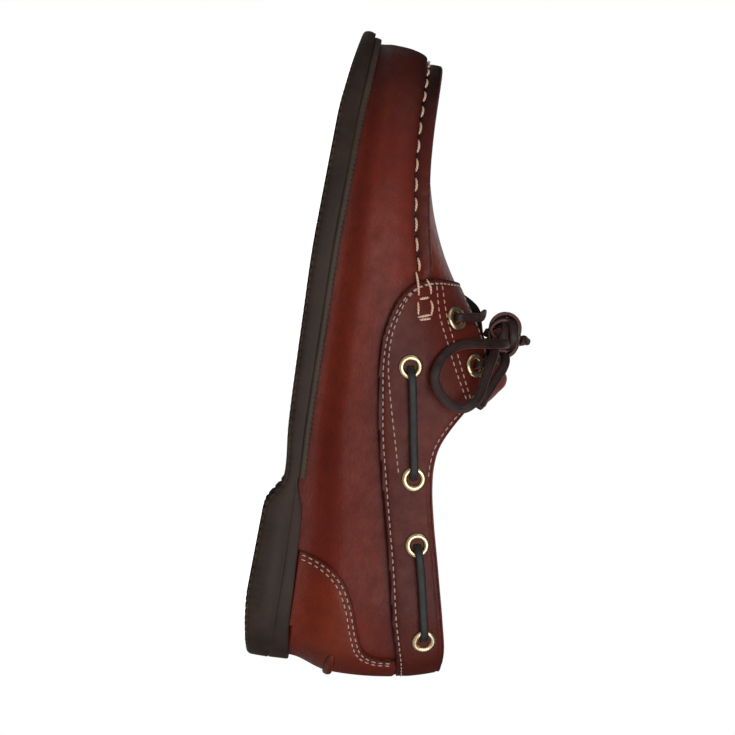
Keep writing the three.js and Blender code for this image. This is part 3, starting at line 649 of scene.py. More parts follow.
def form_measures():
    """The measures that the panels are cut and stitched by."""
    collar = smooth_line(COLLAR)
    above = np.vstack([collar, [(157, 160), (-12, 160)]])
    throat = [(x, FORM.crown_y(x) - half) for x, half in THROAT]
    throat += [(x, FORM.crown_y(x) + half) for x, half in reversed(THROAT)]
    collar_gap = -line_measure(above, SIDE_VIEW, closed=True)
    throat_gap = -line_measure(even_line(throat + throat[:1], 2.0)[:-1], PLAN_VIEW, closed=True)
    throat_gap = np.where(FORM.points[..., 2] > 50, throat_gap, 50.0)
    columns_x = np.broadcast_to(FORM.columns.x, FORM.distance.shape)
    return {
        "open": np.minimum(collar_gap, throat_gap),
        "collar": collar_gap,
        "throat": throat_gap,
        "saddle": line_measure(smooth_line(SADDLE_EDGE), SIDE_VIEW),
        "counter": line_measure(smooth_line(COUNTER_EDGE), SIDE_VIEW),
        "seam": FORM.distance.copy(),
        "column_x": columns_x.copy(),
        "walked": np.broadcast_to(FORM.columns.walked, FORM.distance.shape).copy(),
    }


MEASURES = form_measures()


def contour(rows, name, level, limits=()):
    """Lines on the form where a measure has a level, as arrays of points and normals.

    limits are (measure, low, high): the parts of the lines outside them are left out.
    """
    picked = np.arange(rows[0], rows[1])
    count = FORM.columns.count
    values = MEASURES[name][picked] - level
    carried = [FORM.points[picked], FORM.normals[picked]]
    carried += [MEASURES[other][picked][..., None] for other, _, _ in limits]
    carried = np.concatenate(carried, axis=2)
    positive = values > 0
    mixed = positive != np.roll(positive, -1, axis=1)
    crossings = {}

    def crossing(a, b):
        key = (a, b) if a < b else (b, a)
        if key not in crossings:
            share = values[a] / (values[a] - values[b])
            crossings[key] = carried[a] + (carried[b] - carried[a]) * share
        return key

    links = {}
    for r in range(len(picked) - 1):
        row_mixed = mixed[r] | mixed[r + 1] | (positive[r] != positive[r + 1])
        for k in np.nonzero(row_mixed)[0]:
            after = (k + 1) % count
            corners = [(r, k), (r, after), (r + 1, after), (r + 1, k)]
            found = []
            for a, b in zip(corners, corners[1:] + corners[:1]):
                if positive[a] != positive[b]:
                    found.append(crossing(a, b))
            for one, other in zip(found[::2], found[1::2]):
                links.setdefault(one, []).append(other)
                links.setdefault(other, []).append(one)
    lines = []
    left = set(links)
    starts = [key for key in links if len(links[key]) == 1]
    for start in starts + list(links):
        if start not in left:
            continue
        line = [start]
        left.discard(start)
        while True:
            steps = [key for key in links[line[-1]] if key in left]
            if not steps:
                break
            line.append(steps[0])
            left.discard(steps[0])
        closed = len(line) > 2 and line[0] in links[line[-1]]
        rows_of = np.array([crossings[key] for key in line + (line[:1] if closed else [])])
        keep = np.ones(len(rows_of), bool)
        for i, (_, low, high) in enumerate(limits):
            keep &= (rows_of[:, 6 + i] >= low) & (rows_of[:, 6 + i] <= high)
        if keep.all() or not closed:
            pieces = np.split(np.arange(len(keep)), np.nonzero(np.diff(keep.astype(int)))[0] + 1)
        else:
            first_out = int(np.nonzero(~keep)[0][0])
            order = np.roll(np.arange(len(keep) - 1), -first_out)
            rows_of = rows_of[order]
            keep = keep[order]
            pieces = np.split(np.arange(len(keep)), np.nonzero(np.diff(keep.astype(int)))[0] + 1)
        for piece in pieces:
            if len(piece) > 2 and keep[piece[0]]:
                lines.append(rows_of[piece][:, :6])
    return lines


# ---- meshes -------------------------------------------------------------------------------
def linear(colour):
    """An sRGB hex colour as linear red, green and blue."""
    parts = [int(colour[i:i + 2], 16) / 255 for i in (1, 3, 5)]
    return tuple(v / 12.92 if v <= 0.04045 else ((v + 0.055) / 1.055) ** 2.4 for v in parts)


def build(name, points, faces, materials, slot, replaces=(), marks=None, face_materials=None):
    """A smooth mesh piece from points in the shoe's millimetres; marks are vertex attributes."""
    mesh = bpy.data.meshes.new(name)
    mesh.from_pydata(to_frame(points).tolist(), [], [tuple(int(v) for v in f) for f in faces])
    for key, values in (marks or {}).items():
        values = np.asarray(values, np.float32)
        if values.ndim == 1:
            layer = mesh.attributes.new(key, "FLOAT", "POINT")
            layer.data.foreach_set("value", values)
        else:
            layer = mesh.attributes.new(key, "FLOAT_VECTOR", "POINT")
            layer.data.foreach_set("vector", values.ravel())
    for material in materials:
        mesh.materials.append(material)
    if face_materials is not None:
        mesh.polygons.foreach_set("material_index", np.asarray(face_materials, np.int32))
    mesh.polygons.foreach_set("use_smooth", np.ones(len(mesh.polygons), bool))
    mesh.validate()
    mesh.update()
    piece = bpy.data.objects.new(name, mesh)
    bpy.context.scene.collection.objects.link(piece)
    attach(piece, "root")
    if replaces:
        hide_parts(*replaces)
    return piece


class Parts:
    """Points, faces and marks of many small things, joined into one mesh."""

    def __init__(self):
        self.points = []
        self.faces = []
        self.marks = {}
        self.count = 0

    def add(self, points, faces, **marks):
        self.points.append(np.asarray(points, float))
        self.faces += [tuple(v + self.count for v in face) for face in faces]
        for key, values in marks.items():
            self.marks.setdefault(key, []).append(np.asarray(values, float))
        self.count += len(points)

    def build(self, name, materials, slot, replaces=(), **more):
        marks = {key: np.concatenate(values) for key, values in self.marks.items()}
        points = np.concatenate(self.points)
        return build(name, points, self.faces, materials, slot, replaces, marks, **more)


def tube(rings, capped=True):
    """Points and faces of a tube through rings of equal length."""
    rings = np.asarray(rings, float)
    count, sides = rings.shape[:2]
    points = rings.reshape(-1, 3)
    faces = []
    for r in range(count - 1):
        for i in range(sides):
            j = (i + 1) % sides
            faces.append((r * sides + i, r * sides + j, (r + 1) * sides + j, (r + 1) * sides + i))
    if capped:
        faces.append(tuple(range(sides - 1, -1, -1)))
        faces.append(tuple((count - 1) * sides + i for i in range(sides)))
    return points, faces


def strap_rings(path, width_axis, width, depth, sides=12, square=0.62, ends=1.0):
    """Rings of a flat strand along a path, its width kept along an axis, its ends drawn in."""
    path = np.asarray(path, float)
    axis = np.broadcast_to(np.asarray(width_axis, float), path.shape)
    tangent = unit(np.gradient(path, axis=0))
    side = unit(axis - (axis * tangent).sum(axis=1, keepdims=True) * tangent)
    up = np.cross(tangent, side)
    turn = (np.arange(sides) + 0.5) * 2 * math.pi / sides
    across = np.sign(np.cos(turn)) * np.abs(np.cos(turn)) ** square
    above = np.sign(np.sin(turn)) * np.abs(np.sin(turn)) ** square
    count = len(path)
    taper = np.ones(count)
    taper[0] = taper[-1] = ends
    wide = np.broadcast_to(width, count) * taper / 2
    deep = np.broadcast_to(depth, count) * taper / 2
    rings = path[:, None] + side[:, None] * (wide[:, None] * across)[..., None]
    return rings + up[:, None] * (deep[:, None] * above)[..., None]


def strand_marks(path, sides, round_mm):
    """Coordinates of a strand: millimetres along it and round it, and how near its cut edge."""
    steps = np.linalg.norm(np.diff(path, axis=0), axis=1)
    walked = np.concatenate([[0], np.cumsum(steps)])
    around = np.arange(sides) / sides * round_mm
    grid = np.zeros((len(path), sides, 3))
    grid[..., 0] = walked[:, None]
    grid[..., 1] = around[None, :]
    grid[..., 2] = np.abs(np.cos((np.arange(sides) + 0.5) * 2 * math.pi / sides))
    return grid.reshape(-1, 3)


def add_strap(parts, path, width_axis, width, depth, sides=12, ends=0.8):
    """One strand of lace, joined to parts, with its strand coordinates."""
    rings = strap_rings(path, width_axis, width, depth, sides, ends=ends)
    points, faces = tube(rings)
    parts.add(points, faces, strand=strand_marks(path, sides, 2 * (width + depth)))


def add_stitch(parts, path, normals, width, arch, sides=8):
    """One stitch along a short path, arched over the leather and dipping in at both ends."""
    count = len(path)
    share = np.linspace(0, 1, count)
    lift = arch * np.sin(math.pi * share) ** 0.6 - 0.25 * width
    centre = path + normals * lift[:, None]
    size = width * (0.55 + 0.45 * np.sin(math.pi * share) ** 0.5)
    tangent = unit(np.gradient(centre, axis=0))
    side = unit(np.cross(tangent, normals))
    up = np.cross(side, tangent)
    turn = np.arange(sides) * 2 * math.pi / sides
    rings = centre[:, None] + side[:, None] * (size[:, None] / 2 * np.cos(turn))[..., None]
    rings = rings + up[:, None] * (size[:, None] / 2 * 0.85 * np.sin(turn))[..., None]
    points, faces = tube(rings)
    parts.add(points, faces, strand=strand_marks(centre, sides, 3 * width))


def add_hole(parts, centre, normal, along_line, long, wide):
    """A small dark needle hole, lying just over the leather."""
    across_line = np.cross(normal, along_line)
    turn = np.arange(8) * math.pi / 4
    ring = centre + np.outer(np.cos(turn) * long / 2, along_line)
    ring = ring + np.outer(np.sin(turn) * wide / 2, across_line) + normal * 0.05
    parts.add(ring, [tuple(range(8))])


def stitch_line(threads, needle_holes, line, pitch, length, width, arch, lift=0.0):
    """Even stitches along a line of points and normals (n x 6), with a hole at each end."""
    total = length_of(line[:, :3])
    count = max(1, int(round(total / pitch)))
    pitch = total / count
    walked = np.concatenate([[0], np.cumsum(np.linalg.norm(np.diff(line[:, :3], axis=0), axis=1))])

    def at(places):
        rows = np.stack([np.interp(places, walked, line[:, c]) for c in range(6)], axis=1)
        rows[:, 3:] = unit(rows[:, 3:])
        rows[:, :3] += rows[:, 3:] * lift
        return rows

    for i in range(count):
        middle = (i + 0.5) * pitch
        rows = at(np.linspace(middle - length / 2, middle + length / 2, 7))
        add_stitch(threads, rows[:, :3], rows[:, 3:], width, arch)
        along_line = unit(rows[-1, :3] - rows[0, :3])
        for end in (0, -1):
            add_hole(needle_holes, rows[end, :3], rows[end, 3:], along_line, width * 0.95, width * 0.9)


# ---- materials ----------------------------------------------------------------------------
def add(tree, kind, settings=None, links=None):
    """Adds a node with its settings (attributes or input values) and its links."""
    node = tree.nodes.new(kind)
    for key, value in (settings or {}).items():
        if isinstance(key, str) and hasattr(node, key):
            setattr(node, key, value)
        else:
            node.inputs[key].default_value = value
    for key, socket in (links or {}).items():
        tree.links.new(socket, node.inputs[key])
    return node


def new_material(name):
    """An empty material with its output and shader."""
    material = bpy.data.materials.new(name)
    material.use_nodes = True
    tree = material.node_tree
    tree.nodes.clear()
    shader = add(tree, "ShaderNodeBsdfPrincipled")
    add(tree, "ShaderNodeOutputMaterial", links={"Surface": shader.outputs["BSDF"]})
    return material, tree, shader


def mix_colour(tree, factor, first, second):
    """A colour mixed by a socket or number from two colours or sockets; gives the socket."""
    node = add(tree, "ShaderNodeMix", {"data_type": "RGBA"})
    for index, value in ((0, factor), (6, first), (7, second)):
        if hasattr(value, "is_output"):
            tree.links.new(value, node.inputs[index])
        elif index == 0:
            node.inputs[index].default_value = value
        else:
            node.inputs[index].default_value = (*value, 1)
    return node.outputs[2]


def spread(tree, socket, low, high, to_low=0.0, to_high=1.0):
    """A value stretched from one range to another, clamped."""
    node = add(tree, "ShaderNodeMapRange", {1: low, 2: high, 3: to_low, 4: to_high},
               {"Value": socket})
    return node.outputs["Result"]


def product(tree, first, second):
    """Two values multiplied."""
    node = add(tree, "ShaderNodeMath", {"operation": "MULTIPLY"}, {0: first})
    if hasattr(second, "is_output"):
        tree.links.new(second, node.inputs[1])
    else:
        node.inputs[1].default_value = second
    return node.outputs[0]


def noise(tree, vector, size_mm, detail=3.0, roughness=0.55):
    """Noise whose largest forms are a real size, in object metres."""
    node = add(tree, "ShaderNodeTexNoise",
               {"Scale": 1 / (size_mm * MM), "Detail": detail, "Roughness": roughness},
               {"Vector": vector})
    return node.outputs["Fac"]


def pull_up_leather(name, base, dark, light, raw, roughness=0.42):
    """Corrected-grain pull-up leather, drum dyed, waxed and brushed.

    The wax gives a soft broad shine; oils move where it bends, so its colour is uneven: darker
    along seams, toe and heel with burnish, darker with painted shade along edges, low by the sole
    and in grooves, both from one attribute, and paler on the cut edges, which show the raw hide (raw).
    """
    material, tree, shader = new_material(name)
    place = add(tree, "ShaderNodeTexCoord").outputs["Object"]
    burnish = add(tree, "ShaderNodeAttribute", {"attribute_name": "burnish"}).outputs["Fac"]
    cut = add(tree, "ShaderNodeAttribute", {"attribute_name": "raw"}).outputs["Fac"]
    stretched = add(tree, "ShaderNodeMapping", {"Scale": (0.45, 1.0, 1.0)}, {"Vector": place})
    clouds = noise(tree, stretched.outputs["Vector"], 34, 4.0)
    flecks = noise(tree, place, 6, 5.0, 0.65)
    colour = mix_colour(tree, spread(tree, clouds, 0.36, 0.66), linear(base), linear(light))
    colour = mix_colour(tree, spread(tree, flecks, 0.42, 0.75, 0.0, 0.3), colour, linear(dark))
    # Burnish and painted shade darken the colour together; one attribute carries both.
    colour = mix_colour(tree, spread(tree, burnish, 0.0, 1.0), colour, linear(dark))
    fibres = noise(tree, place, 1.2, 4.0, 0.7)
    raw_colour = mix_colour(tree, spread(tree, fibres, 0.3, 0.7), linear(raw), linear(dark))
    colour = mix_colour(tree, spread(tree, cut, 0.2, 0.8), colour, raw_colour)
    tree.links.new(colour, shader.inputs["Base Color"])
    # Grain of the hide: cells just under a millimetre, with pores between them.
    cells = add(tree, "ShaderNodeTexVoronoi",
                {"Scale": 1 / (0.95 * MM), "feature": "SMOOTH_F1", "Smoothness": 0.6},
                {"Vector": place}).outputs["Distance"]
    pores = noise(tree, place, 0.6, 3.0)
    folds = noise(tree, stretched.outputs["Vector"], 5.5, 3.0, 0.6)
    bump = add(tree, "ShaderNodeBump", {"Strength": 0.5, "Distance": 0.00012}, {"Height": cells})
    bump = add(tree, "ShaderNodeBump", {"Strength": 0.35, "Distance": 0.0001},
               {"Height": pores, "Normal": bump.outputs["Normal"]})
    bump = add(tree, "ShaderNodeBump", {"Strength": 0.5, "Distance": 0.0006},
               {"Height": folds, "Normal": bump.outputs["Normal"]})
    tree.links.new(bump.outputs["Normal"], shader.inputs["Normal"])
    shine = spread(tree, flecks, 0.3, 0.7, roughness - 0.06, roughness + 0.10)
    tree.links.new(shine, shader.inputs["Roughness"])
    shader.inputs["IOR"].default_value = 1.36
    shader.inputs["Specular IOR Level"].default_value = 0.38
    return material


def moulded_rubber(name, base, light, grain_mm=0.7, depth=0.00012):
    """Compression-moulded nitrile rubber: matt, almost black, chalky where it is handled."""
    material, tree, shader = new_material(name)
    place = add(tree, "ShaderNodeTexCoord").outputs["Object"]
    dust = noise(tree, place, 18, 5.0, 0.6)
    speck = noise(tree, place, grain_mm, 3.0, 0.6)
    colour = mix_colour(tree, spread(tree, dust, 0.4, 0.7), linear(base), linear(light))
    colour = mix_colour(tree, spread(tree, speck, 0.5, 0.8, 0.0, 0.25), colour, linear(light))
    tree.links.new(colour, shader.inputs["Base Color"])
    bump = add(tree, "ShaderNodeBump", {"Strength": 0.6, "Distance": depth}, {"Height": speck})
    tree.links.new(bump.outputs["Normal"], shader.inputs["Normal"])
    tree.links.new(spread(tree, dust, 0.3, 0.7, 0.5, 0.66), shader.inputs["Roughness"])
    shader.inputs["IOR"].default_value = 1.4
    return material


def waxed_thread(name, base, shade, ply_mm=0.9):
    """Waxed polyester thread, three plies twisted: slanted ridges with a dull shine."""
    material, tree, shader = new_material(name)
    strand = add(tree, "ShaderNodeAttribute", {"attribute_name": "strand"}).outputs["Vector"]
    place = add(tree, "ShaderNodeTexCoord").outputs["Object"]
    turned = add(tree, "ShaderNodeMapping", {"Rotation": (0, 0, 0.8)}, {"Vector": strand})
    plies = add(tree, "ShaderNodeTexWave", {"Scale": 0.314 / ply_mm, "Distortion": 0.6},
                {"Vector": turned.outputs["Vector"]}).outputs["Fac"]
    fuzz = noise(tree, place, 2.4, 3.0)
    colour = mix_colour(tree, spread(tree, plies, 0.0, 0.5), linear(shade), linear(base))
    colour = mix_colour(tree, spread(tree, fuzz, 0.45, 0.8, 0.0, 0.5), colour, linear(shade))
    tree.links.new(colour, shader.inputs["Base Color"])
    bump = add(tree, "ShaderNodeBump", {"Strength": 0.7, "Distance": 0.0002}, {"Height": plies})
    tree.links.new(bump.outputs["Normal"], shader.inputs["Normal"])
    shader.inputs["Roughness"].default_value = 0.6
    return material


def rawhide(name, base, light, edge, edge_highlight):
    """Oiled rawhide lace, cut and skived: near black and fibrous, with a painted highlight along the edges
    of the strand.
    """
    material, tree, shader = new_material(name)
    strand = add(tree, "ShaderNodeAttribute", {"attribute_name": "strand"}).outputs["Vector"]
    place = add(tree, "ShaderNodeTexCoord").outputs["Object"]
    drawn = add(tree, "ShaderNodeMapping", {"Scale": (0.12, 1.0, 1.0)}, {"Vector": strand})
    fibres = add(tree, "ShaderNodeTexNoise", {"Scale": 2.2, "Detail": 4.0, "Roughness": 0.65},
                 {"Vector": drawn.outputs["Vector"]}).outputs["Fac"]
    patches = noise(tree, place, 7, 3.0)
    colour = mix_colour(tree, spread(tree, patches, 0.4, 0.7), linear(base), linear(light))
    colour = mix_colour(tree, spread(tree, fibres, 0.5, 0.72), colour, linear(edge))
    # Painted highlight: the colour turns lighter towards the strand's edges, where light would catch them.
    near_edge = add(tree, "ShaderNodeSeparateXYZ", None, {"Vector": strand}).outputs["Z"]
    colour = mix_colour(tree, spread(tree, near_edge, 0.8, 0.96, 0, 0.8), colour, linear(edge_highlight))
    tree.links.new(colour, shader.inputs["Base Color"])
    bump = add(tree, "ShaderNodeBump", {"Strength": 0.7, "Distance": 0.0003}, {"Height": fibres})
    tree.links.new(bump.outputs["Normal"], shader.inputs["Normal"])
    tree.links.new(spread(tree, patches, 0.3, 0.7, 0.42, 0.6), shader.inputs["Roughness"])
    return material


def rolled_brass(name):
    """Drawn and rolled brass, lacquered: warm, bright on the roll and duller in the throat."""
    material, tree, shader = new_material(name)
    place = add(tree, "ShaderNodeTexCoord").outputs["Object"]
    tarnish = noise(tree, place, 2.5, 4.0)
    colour = mix_colour(tree, spread(tree, tarnish, 0.35, 0.7), linear("#f4e4c0"), linear("#e2c791"))
    tree.links.new(colour, shader.inputs["Base Color"])
    tree.links.new(spread(tree, tarnish, 0.3, 0.7, 0.2, 0.36), shader.inputs["Roughness"])
    shader.inputs["Metallic"].default_value = 1.0
    scuffs = noise(tree, place, 0.8, 2.0)
    bump = add(tree, "ShaderNodeBump", {"Strength": 0.05, "Distance": 0.0001}, {"Height": scuffs})
    tree.links.new(bump.outputs["Normal"], shader.inputs["Normal"])
    return material


def pigskin_lining(name, base, dark):
    """Vegetable-tanned lining leather, unfinished: matt and soft, with scattered pores."""
    material, tree, shader = new_material(name)
    place = add(tree, "ShaderNodeTexCoord").outputs["Object"]
    clouds = noise(tree, place, 20, 4.0)
    pores = add(tree, "ShaderNodeTexVoronoi", {"Scale": 1 / (1.6 * MM)},
                {"Vector": place}).outputs["Distance"]
    colour = mix_colour(tree, spread(tree, clouds, 0.35, 0.7), linear(base), linear(dark))
    colour = mix_colour(tree, spread(tree, pores, 0.22, 0.1, 0.0, 0.6), colour, linear(dark))
    tree.links.new(colour, shader.inputs["Base Color"])
    bump = add(tree, "ShaderNodeBump", {"Strength": 0.4, "Distance": 0.0002}, {"Height": pores})
    tree.links.new(bump.outputs["Normal"], shader.inputs["Normal"])
    shader.inputs["Roughness"].default_value = 0.78
    return material


def needle_hole(name):
    """The shaded inside of a needle hole."""
    material, tree, shader = new_material(name)
    place = add(tree, "ShaderNodeTexCoord").outputs["Object"]
    colour = mix_colour(tree, noise(tree, place, 1.0), linear("#120504"), linear("#240a08"))
    tree.links.new(colour, shader.inputs["Base Color"])
    shader.inputs["Roughness"].default_value = 0.9
    return material


FINISHES = {}


def finish(name):
    """The named finish, made once, in the colours of the sidebar."""
    if name not in FINISHES:
        colours = bpy.context.scene.shoe_colours
        makers = {
            "vamp": lambda: pull_up_leather("pull_up_leather_brushed", colours.vamp,
                                            colours.vamp_dark, colours.vamp_light, "#5d2f22"),
            "saddle": lambda: pull_up_leather("pull_up_leather_saddle", colours.saddle,
                                              colours.saddle_dark, colours.saddle_light, "#a5634a"),
            "counter": lambda: pull_up_leather("pull_up_leather_counter", colours.counter,
                                               colours.vamp_dark, colours.counter_light, "#7c4431"),
            "tongue": lambda: pull_up_leather("tongue_leather_milled", "#54201a", "#2e0f0c",
                                              "#6e3129", "#5d2c20", 0.5),
            "padding": lambda: pull_up_leather("tongue_padding_smooth", "#0d0c0b", "#060606",
                                               "#171615", "#141210", 0.34),
            "lining": lambda: pigskin_lining("lining_leather_unfinished", "#3a2a22", "#261a15"),
            "sock": lambda: pigskin_lining("insole_leather_unfinished", "#6b4a36", "#4a3226"),
            "rubber": lambda: moulded_rubber("nitrile_rubber_moulded", colours.sole, "#3a281e"),
            "welt": lambda: moulded_rubber("nitrile_rubber_knurled", "#35281f", "#463629", 0.5),
            # The tread's paler rubber is a painted reflection of the pale floor, which the underside
            # faces.
            "tread": lambda: moulded_rubber("nitrile_rubber_tread_painted_reflection", "#3c3127", "#524437", 0.9),
            "moc_thread": lambda: waxed_thread("waxed_thread_heavy", colours.moc_thread, "#a86f4e"),
            "thread": lambda: waxed_thread("waxed_thread_fine", colours.thread, "#a58478", 0.4),
            "hole": lambda: needle_hole("needle_hole_shaded"),
            # The last colour of each lace is its painted edge highlight.
            "lace": lambda: rawhide("rawhide_side_lace_oiled", "#100e0d", "#1e1b19", "#262220", "#2c2724"),
            "bow": lambda: rawhide("rawhide_bow_lace_oiled", "#1c0907", "#2e130f", "#44211a",
                                   "#6b4238"),
            "brass": lambda: rolled_brass("brass_rolled_lacquered"),
        }
        FINISHES[name] = makers[name]()
    return FINISHES[name]


# ---- surfaces to lay things on ------------------------------------------------------------
class Cover:
    """The form at a height, for finding where a place in the side view lies."""

    def __init__(self, lift):
        count = FORM.columns.count
        points = (FORM.points + FORM.normals * lift).reshape(-1, 3)
        rows = FORM.points.shape[0]
        faces = []
        for r in range(rows - 1):
            for k in range(count):
                after = (k + 1) % count
                faces.append((r * count + k, r * count + after,
                              (r + 1) * count + after, (r + 1) * count + k))
        self.tree = BVHTree.FromPolygons(points.tolist(), faces)

    def seat(self, x, z, side):
        """Point and outward normal at a place in the side view, outer (1) or inner (-1)."""
        hit, normal, _, _ = self.tree.ray_cast(Vector((x, 150 * side, z)), Vector((0, -side, 0)))
        if hit is None:
            raise RuntimeError(f"nothing lies at x {x}, z {z}")
        normal = np.array(normal)
        if normal[1] * side < 0:
            normal = -normal
        return np.array(hit), normal

    def line(self, places, side, step=1.5):
        """A side-view line laid on the cover: rows of point and normal."""
        flat = even_line(smooth_line(places) if len(places) > 2 else places, step)
        rows = [np.concatenate(self.seat(x, z, side)) for x, z in flat]
        rows = np.array(rows)
        for _ in range(3):
            rows[1:-1, 3:] = unit(rows[:-2, 3:] + rows[1:-1, 3:] + rows[2:, 3:])
        return rows


COVER = Cover(SURFACE)


# ---- upper --------------------------------------------------------------------------------
SEAM_START = 187.2           # the moccasin seam comes out from under the saddle here


def seam_path():
    """Columns along the moccasin seam from the outer saddle round the toe to the inner one."""
    x = FORM.columns.x
    half = FORM.columns.count // 2
    first = int(np.nonzero(x[:half] > SEAM_START)[0][0])
    return np.arange(first, FORM.columns.count - first + 1)


def seam_stitch_places():
    """Distance of each column along the seam, and how close it is to a needle hole."""
    columns = seam_path()
    points = FORM.points[FORM.seam_row, columns]
    walked = np.concatenate([[0], np.cumsum(np.linalg.norm(np.diff(points, axis=0), axis=1))])
    count = int(round(walked[-1] / MOC_PITCH))
    pitch = walked[-1] / count
    near = np.zeros(FORM.columns.count)
    phase = np.mod(walked + pitch / 2, pitch) - pitch / 2
    near[columns] = np.exp(-((phase / 1.5) ** 2))
    return near


# Creases of the vamp and quarters, seen from the side: both ends (x, z),
# depth and half width. A negative depth is a soft ridge.
CREASES = [
    ((186, 30), (204, 38), 0.5, 5.0), ((200, 22), (214, 34), 0.35, 6.0),
    ((214, 24), (226, 37), 0.25, 5.0), ((176, 20), (196, 26), 0.4, 5.0),
    ((150, 24), (176, 31), 0.35, 5.5), ((120, 22), (146, 26), 0.3, 6.0),
    ((66, 30), (84, 40), 0.35, 6.0), ((192, 26), (208, 36), -0.3, 3.5),
]


def crease_depth(points):
    """How far the listed creases press the leather in."""
    depth = np.zeros(points.shape[:-1])
    flat = points[..., SIDE_VIEW]
    for start, end, deep, wide in CREASES:
        start, end = np.array(start, float), np.array(end, float)
        run = end - start
        t = np.clip(((flat - start) @ run) / (run @ run), 0, 1)
        gap = np.linalg.norm(flat - start - t[..., None] * run, axis=-1)
        fade = np.sin(math.pi * np.clip(t, 0.06, 0.94))
        depth += deep * fade * np.exp(-((gap / wide) ** 2))
    return depth


def upper_grid():
    """The vamp, quarters and plug as a grid, with the gathered rim over the seam."""
    points = FORM.points.copy()
    x = FORM.columns.x
    shown = smoothstep(184.5, 190, x)
    rise = along(RIDGE, 1, x)
    near = seam_stitch_places()
    raw = np.zeros(FORM.distance.shape)
    # The vamp is gathered into each needle hole, so the rim leans and the groove deepens there.
    for i, (_, climb, stand) in enumerate(SEAM_ROWS):
        r = FORM.first_seam_row + i
        pinch = np.where(stand < 0, 1 + 0.55 * near, 1 - 0.35 * near)
        points[r] += FORM.normals[r] * (shown * stand * pinch)[:, None]
        points[r, :, 2] += rise * climb
        outward = FORM.normals[FORM.seam_row] * (shown * climb * (0.5 - 0.5 * near))[:, None]
        outward[:, 2] = 0
        points[r] += outward
        if 1.7 < SEAM_ROWS[i][0] < 3.5:
            raw[r] = shown
    # The plug is pulled down a little at its seam and swells between.
    plug = FORM.distance > SEAM_ROWS[-1][0]
    away = np.maximum(0, FORM.distance - SEAM_ROWS[-1][0])
    swell = -0.9 * np.exp(-(away / 5.0)) * shown
    points += FORM.normals * np.where(plug, swell, 0.0)[..., None]
    depth = crease_depth(FORM.points) * smoothstep(-3, -9, FORM.distance)
    points -= FORM.normals * depth[..., None]
    return points, raw


def burnish_of(points, distance):
    """How dark the leather is: burnished at the toe, the seams and the heel, with painted shade low by the
    sole.
    """
    x, z = points[:, 0], points[:, 2]
    toe = 0.75 * smoothstep(244, 292, x)
    seam = 0.35 * np.exp(-((distance / 5.0) ** 2)) * (x > 190)
    heel = 0.25 * smoothstep(20, 4, x)
    # Painted shade: the wall is darker low down, next to the sole.
    low = 0.15 * smoothstep(22, 12, z)
    return np.clip(toe + seam + heel + low, 0, 1)


def leather_piece(sheet, name, finish_name, slot, replaces=(), raw=None):
    """Builds a cut sheet with its marks: burnish and painted shade, and raw edges."""
    points = sheet.data[:, :3]
    burnish = burnish_of(points, sheet.value("seam"))
    if "shade" in sheet.names:
        # The sheet's painted shade, in grooves and along and under the edges of overlays, is added in.
        burnish = np.clip(burnish + sheet.value("shade"), 0, 1)
    marks = {"burnish": burnish, "raw": raw if raw is not None else np.zeros(len(points))}
    return build(name, points, sheet.faces, [finish(finish_name)], slot, replaces, marks)


def make_upper():
    """The vamp, quarters and plug, gathered to a rim along the moccasin seam."""
    grid, raw = upper_grid()
    measures = dict(MEASURES)
    measures["raw"] = raw
    shade = 0.5 * np.exp(-((FORM.distance / 1.3) ** 2)) * (MEASURES["column_x"] > 196)
    under_saddle = MEASURES["saddle"]
    shade += 0.25 * np.exp(-((np.minimum(0, under_saddle) / 3.0) ** 2)) * (under_saddle < 2)
    measures["shade"] = shade
    sheet = Leather((0, len(grid)), measures, grid)
    sheet.cut("open", 0.6)
    sheet.weld()
    leather_piece(sheet, "vamp_and_plug", "vamp", "upper_leather", ["upper"], sheet.value("raw"))


def make_lining():
    """The inside of the upper and the insole that closes it below."""
    grid = FORM.points - FORM.normals * WALL
    sheet = Leather((2, len(grid)), MEASURES, grid)
    sheet.cut("open", 0.5)
    sheet.weld()
    faces = [tuple(reversed(face)) for face in sheet.faces]
    build("lining", sheet.data[:, :3], faces, [finish("lining")], "lining")
    x = FORM.columns.x
    low = sole(SEAT, x) + GAP
    inset = FEATHER + WALL + 0.7
    rings = [(inset, 0.0), (inset, 2.6), (inset + 0.5, 3.4), (inset + 1.6, INSOLE_HEIGHT),
             (inset + 8, INSOLE_HEIGHT - 0.4)]
    points = [FORM.columns.inset(i, low + lift) for i, lift in rings]
    body, faces = closed_rings(points, rows_across=12)
    build("sock_insole", body, faces, [finish("sock")], "lining", ["insole"])


def closed_rings(rings, rows_across):
    """Rings joined up, then both ends closed by ladders of quads across the shoe."""
    count = len(rings[0])
    points = list(np.vstack(rings))
    faces = ring_faces(len(rings), count)
    half = count // 2
    for ring, flip in ((0, True), (len(rings) - 1, False)):
        before = None
        for k in range(half + 1):
            one, other = ring * count + k, ring * count + (count - k) % count
            if one == other:
                row = [one] * (rows_across + 1)
            else:
                row = [one]
                for i in range(1, rows_across):
                    share = i / rows_across
                    place = points[one] * (1 - share) + points[other] * share
                    row.append(len(points))
                    points.append(place)
                row.append(other)
            if before:
                for i in range(rows_across):
                    quad = [before[i], before[i + 1], row[i + 1], row[i]]
                    ring_face = [v for n, v in enumerate(quad) if v not in quad[:n]]
                    if len(ring_face) > 2:
                        faces.append(tuple(reversed(ring_face)) if flip else tuple(ring_face))
            before = row
    return np.array(points), faces


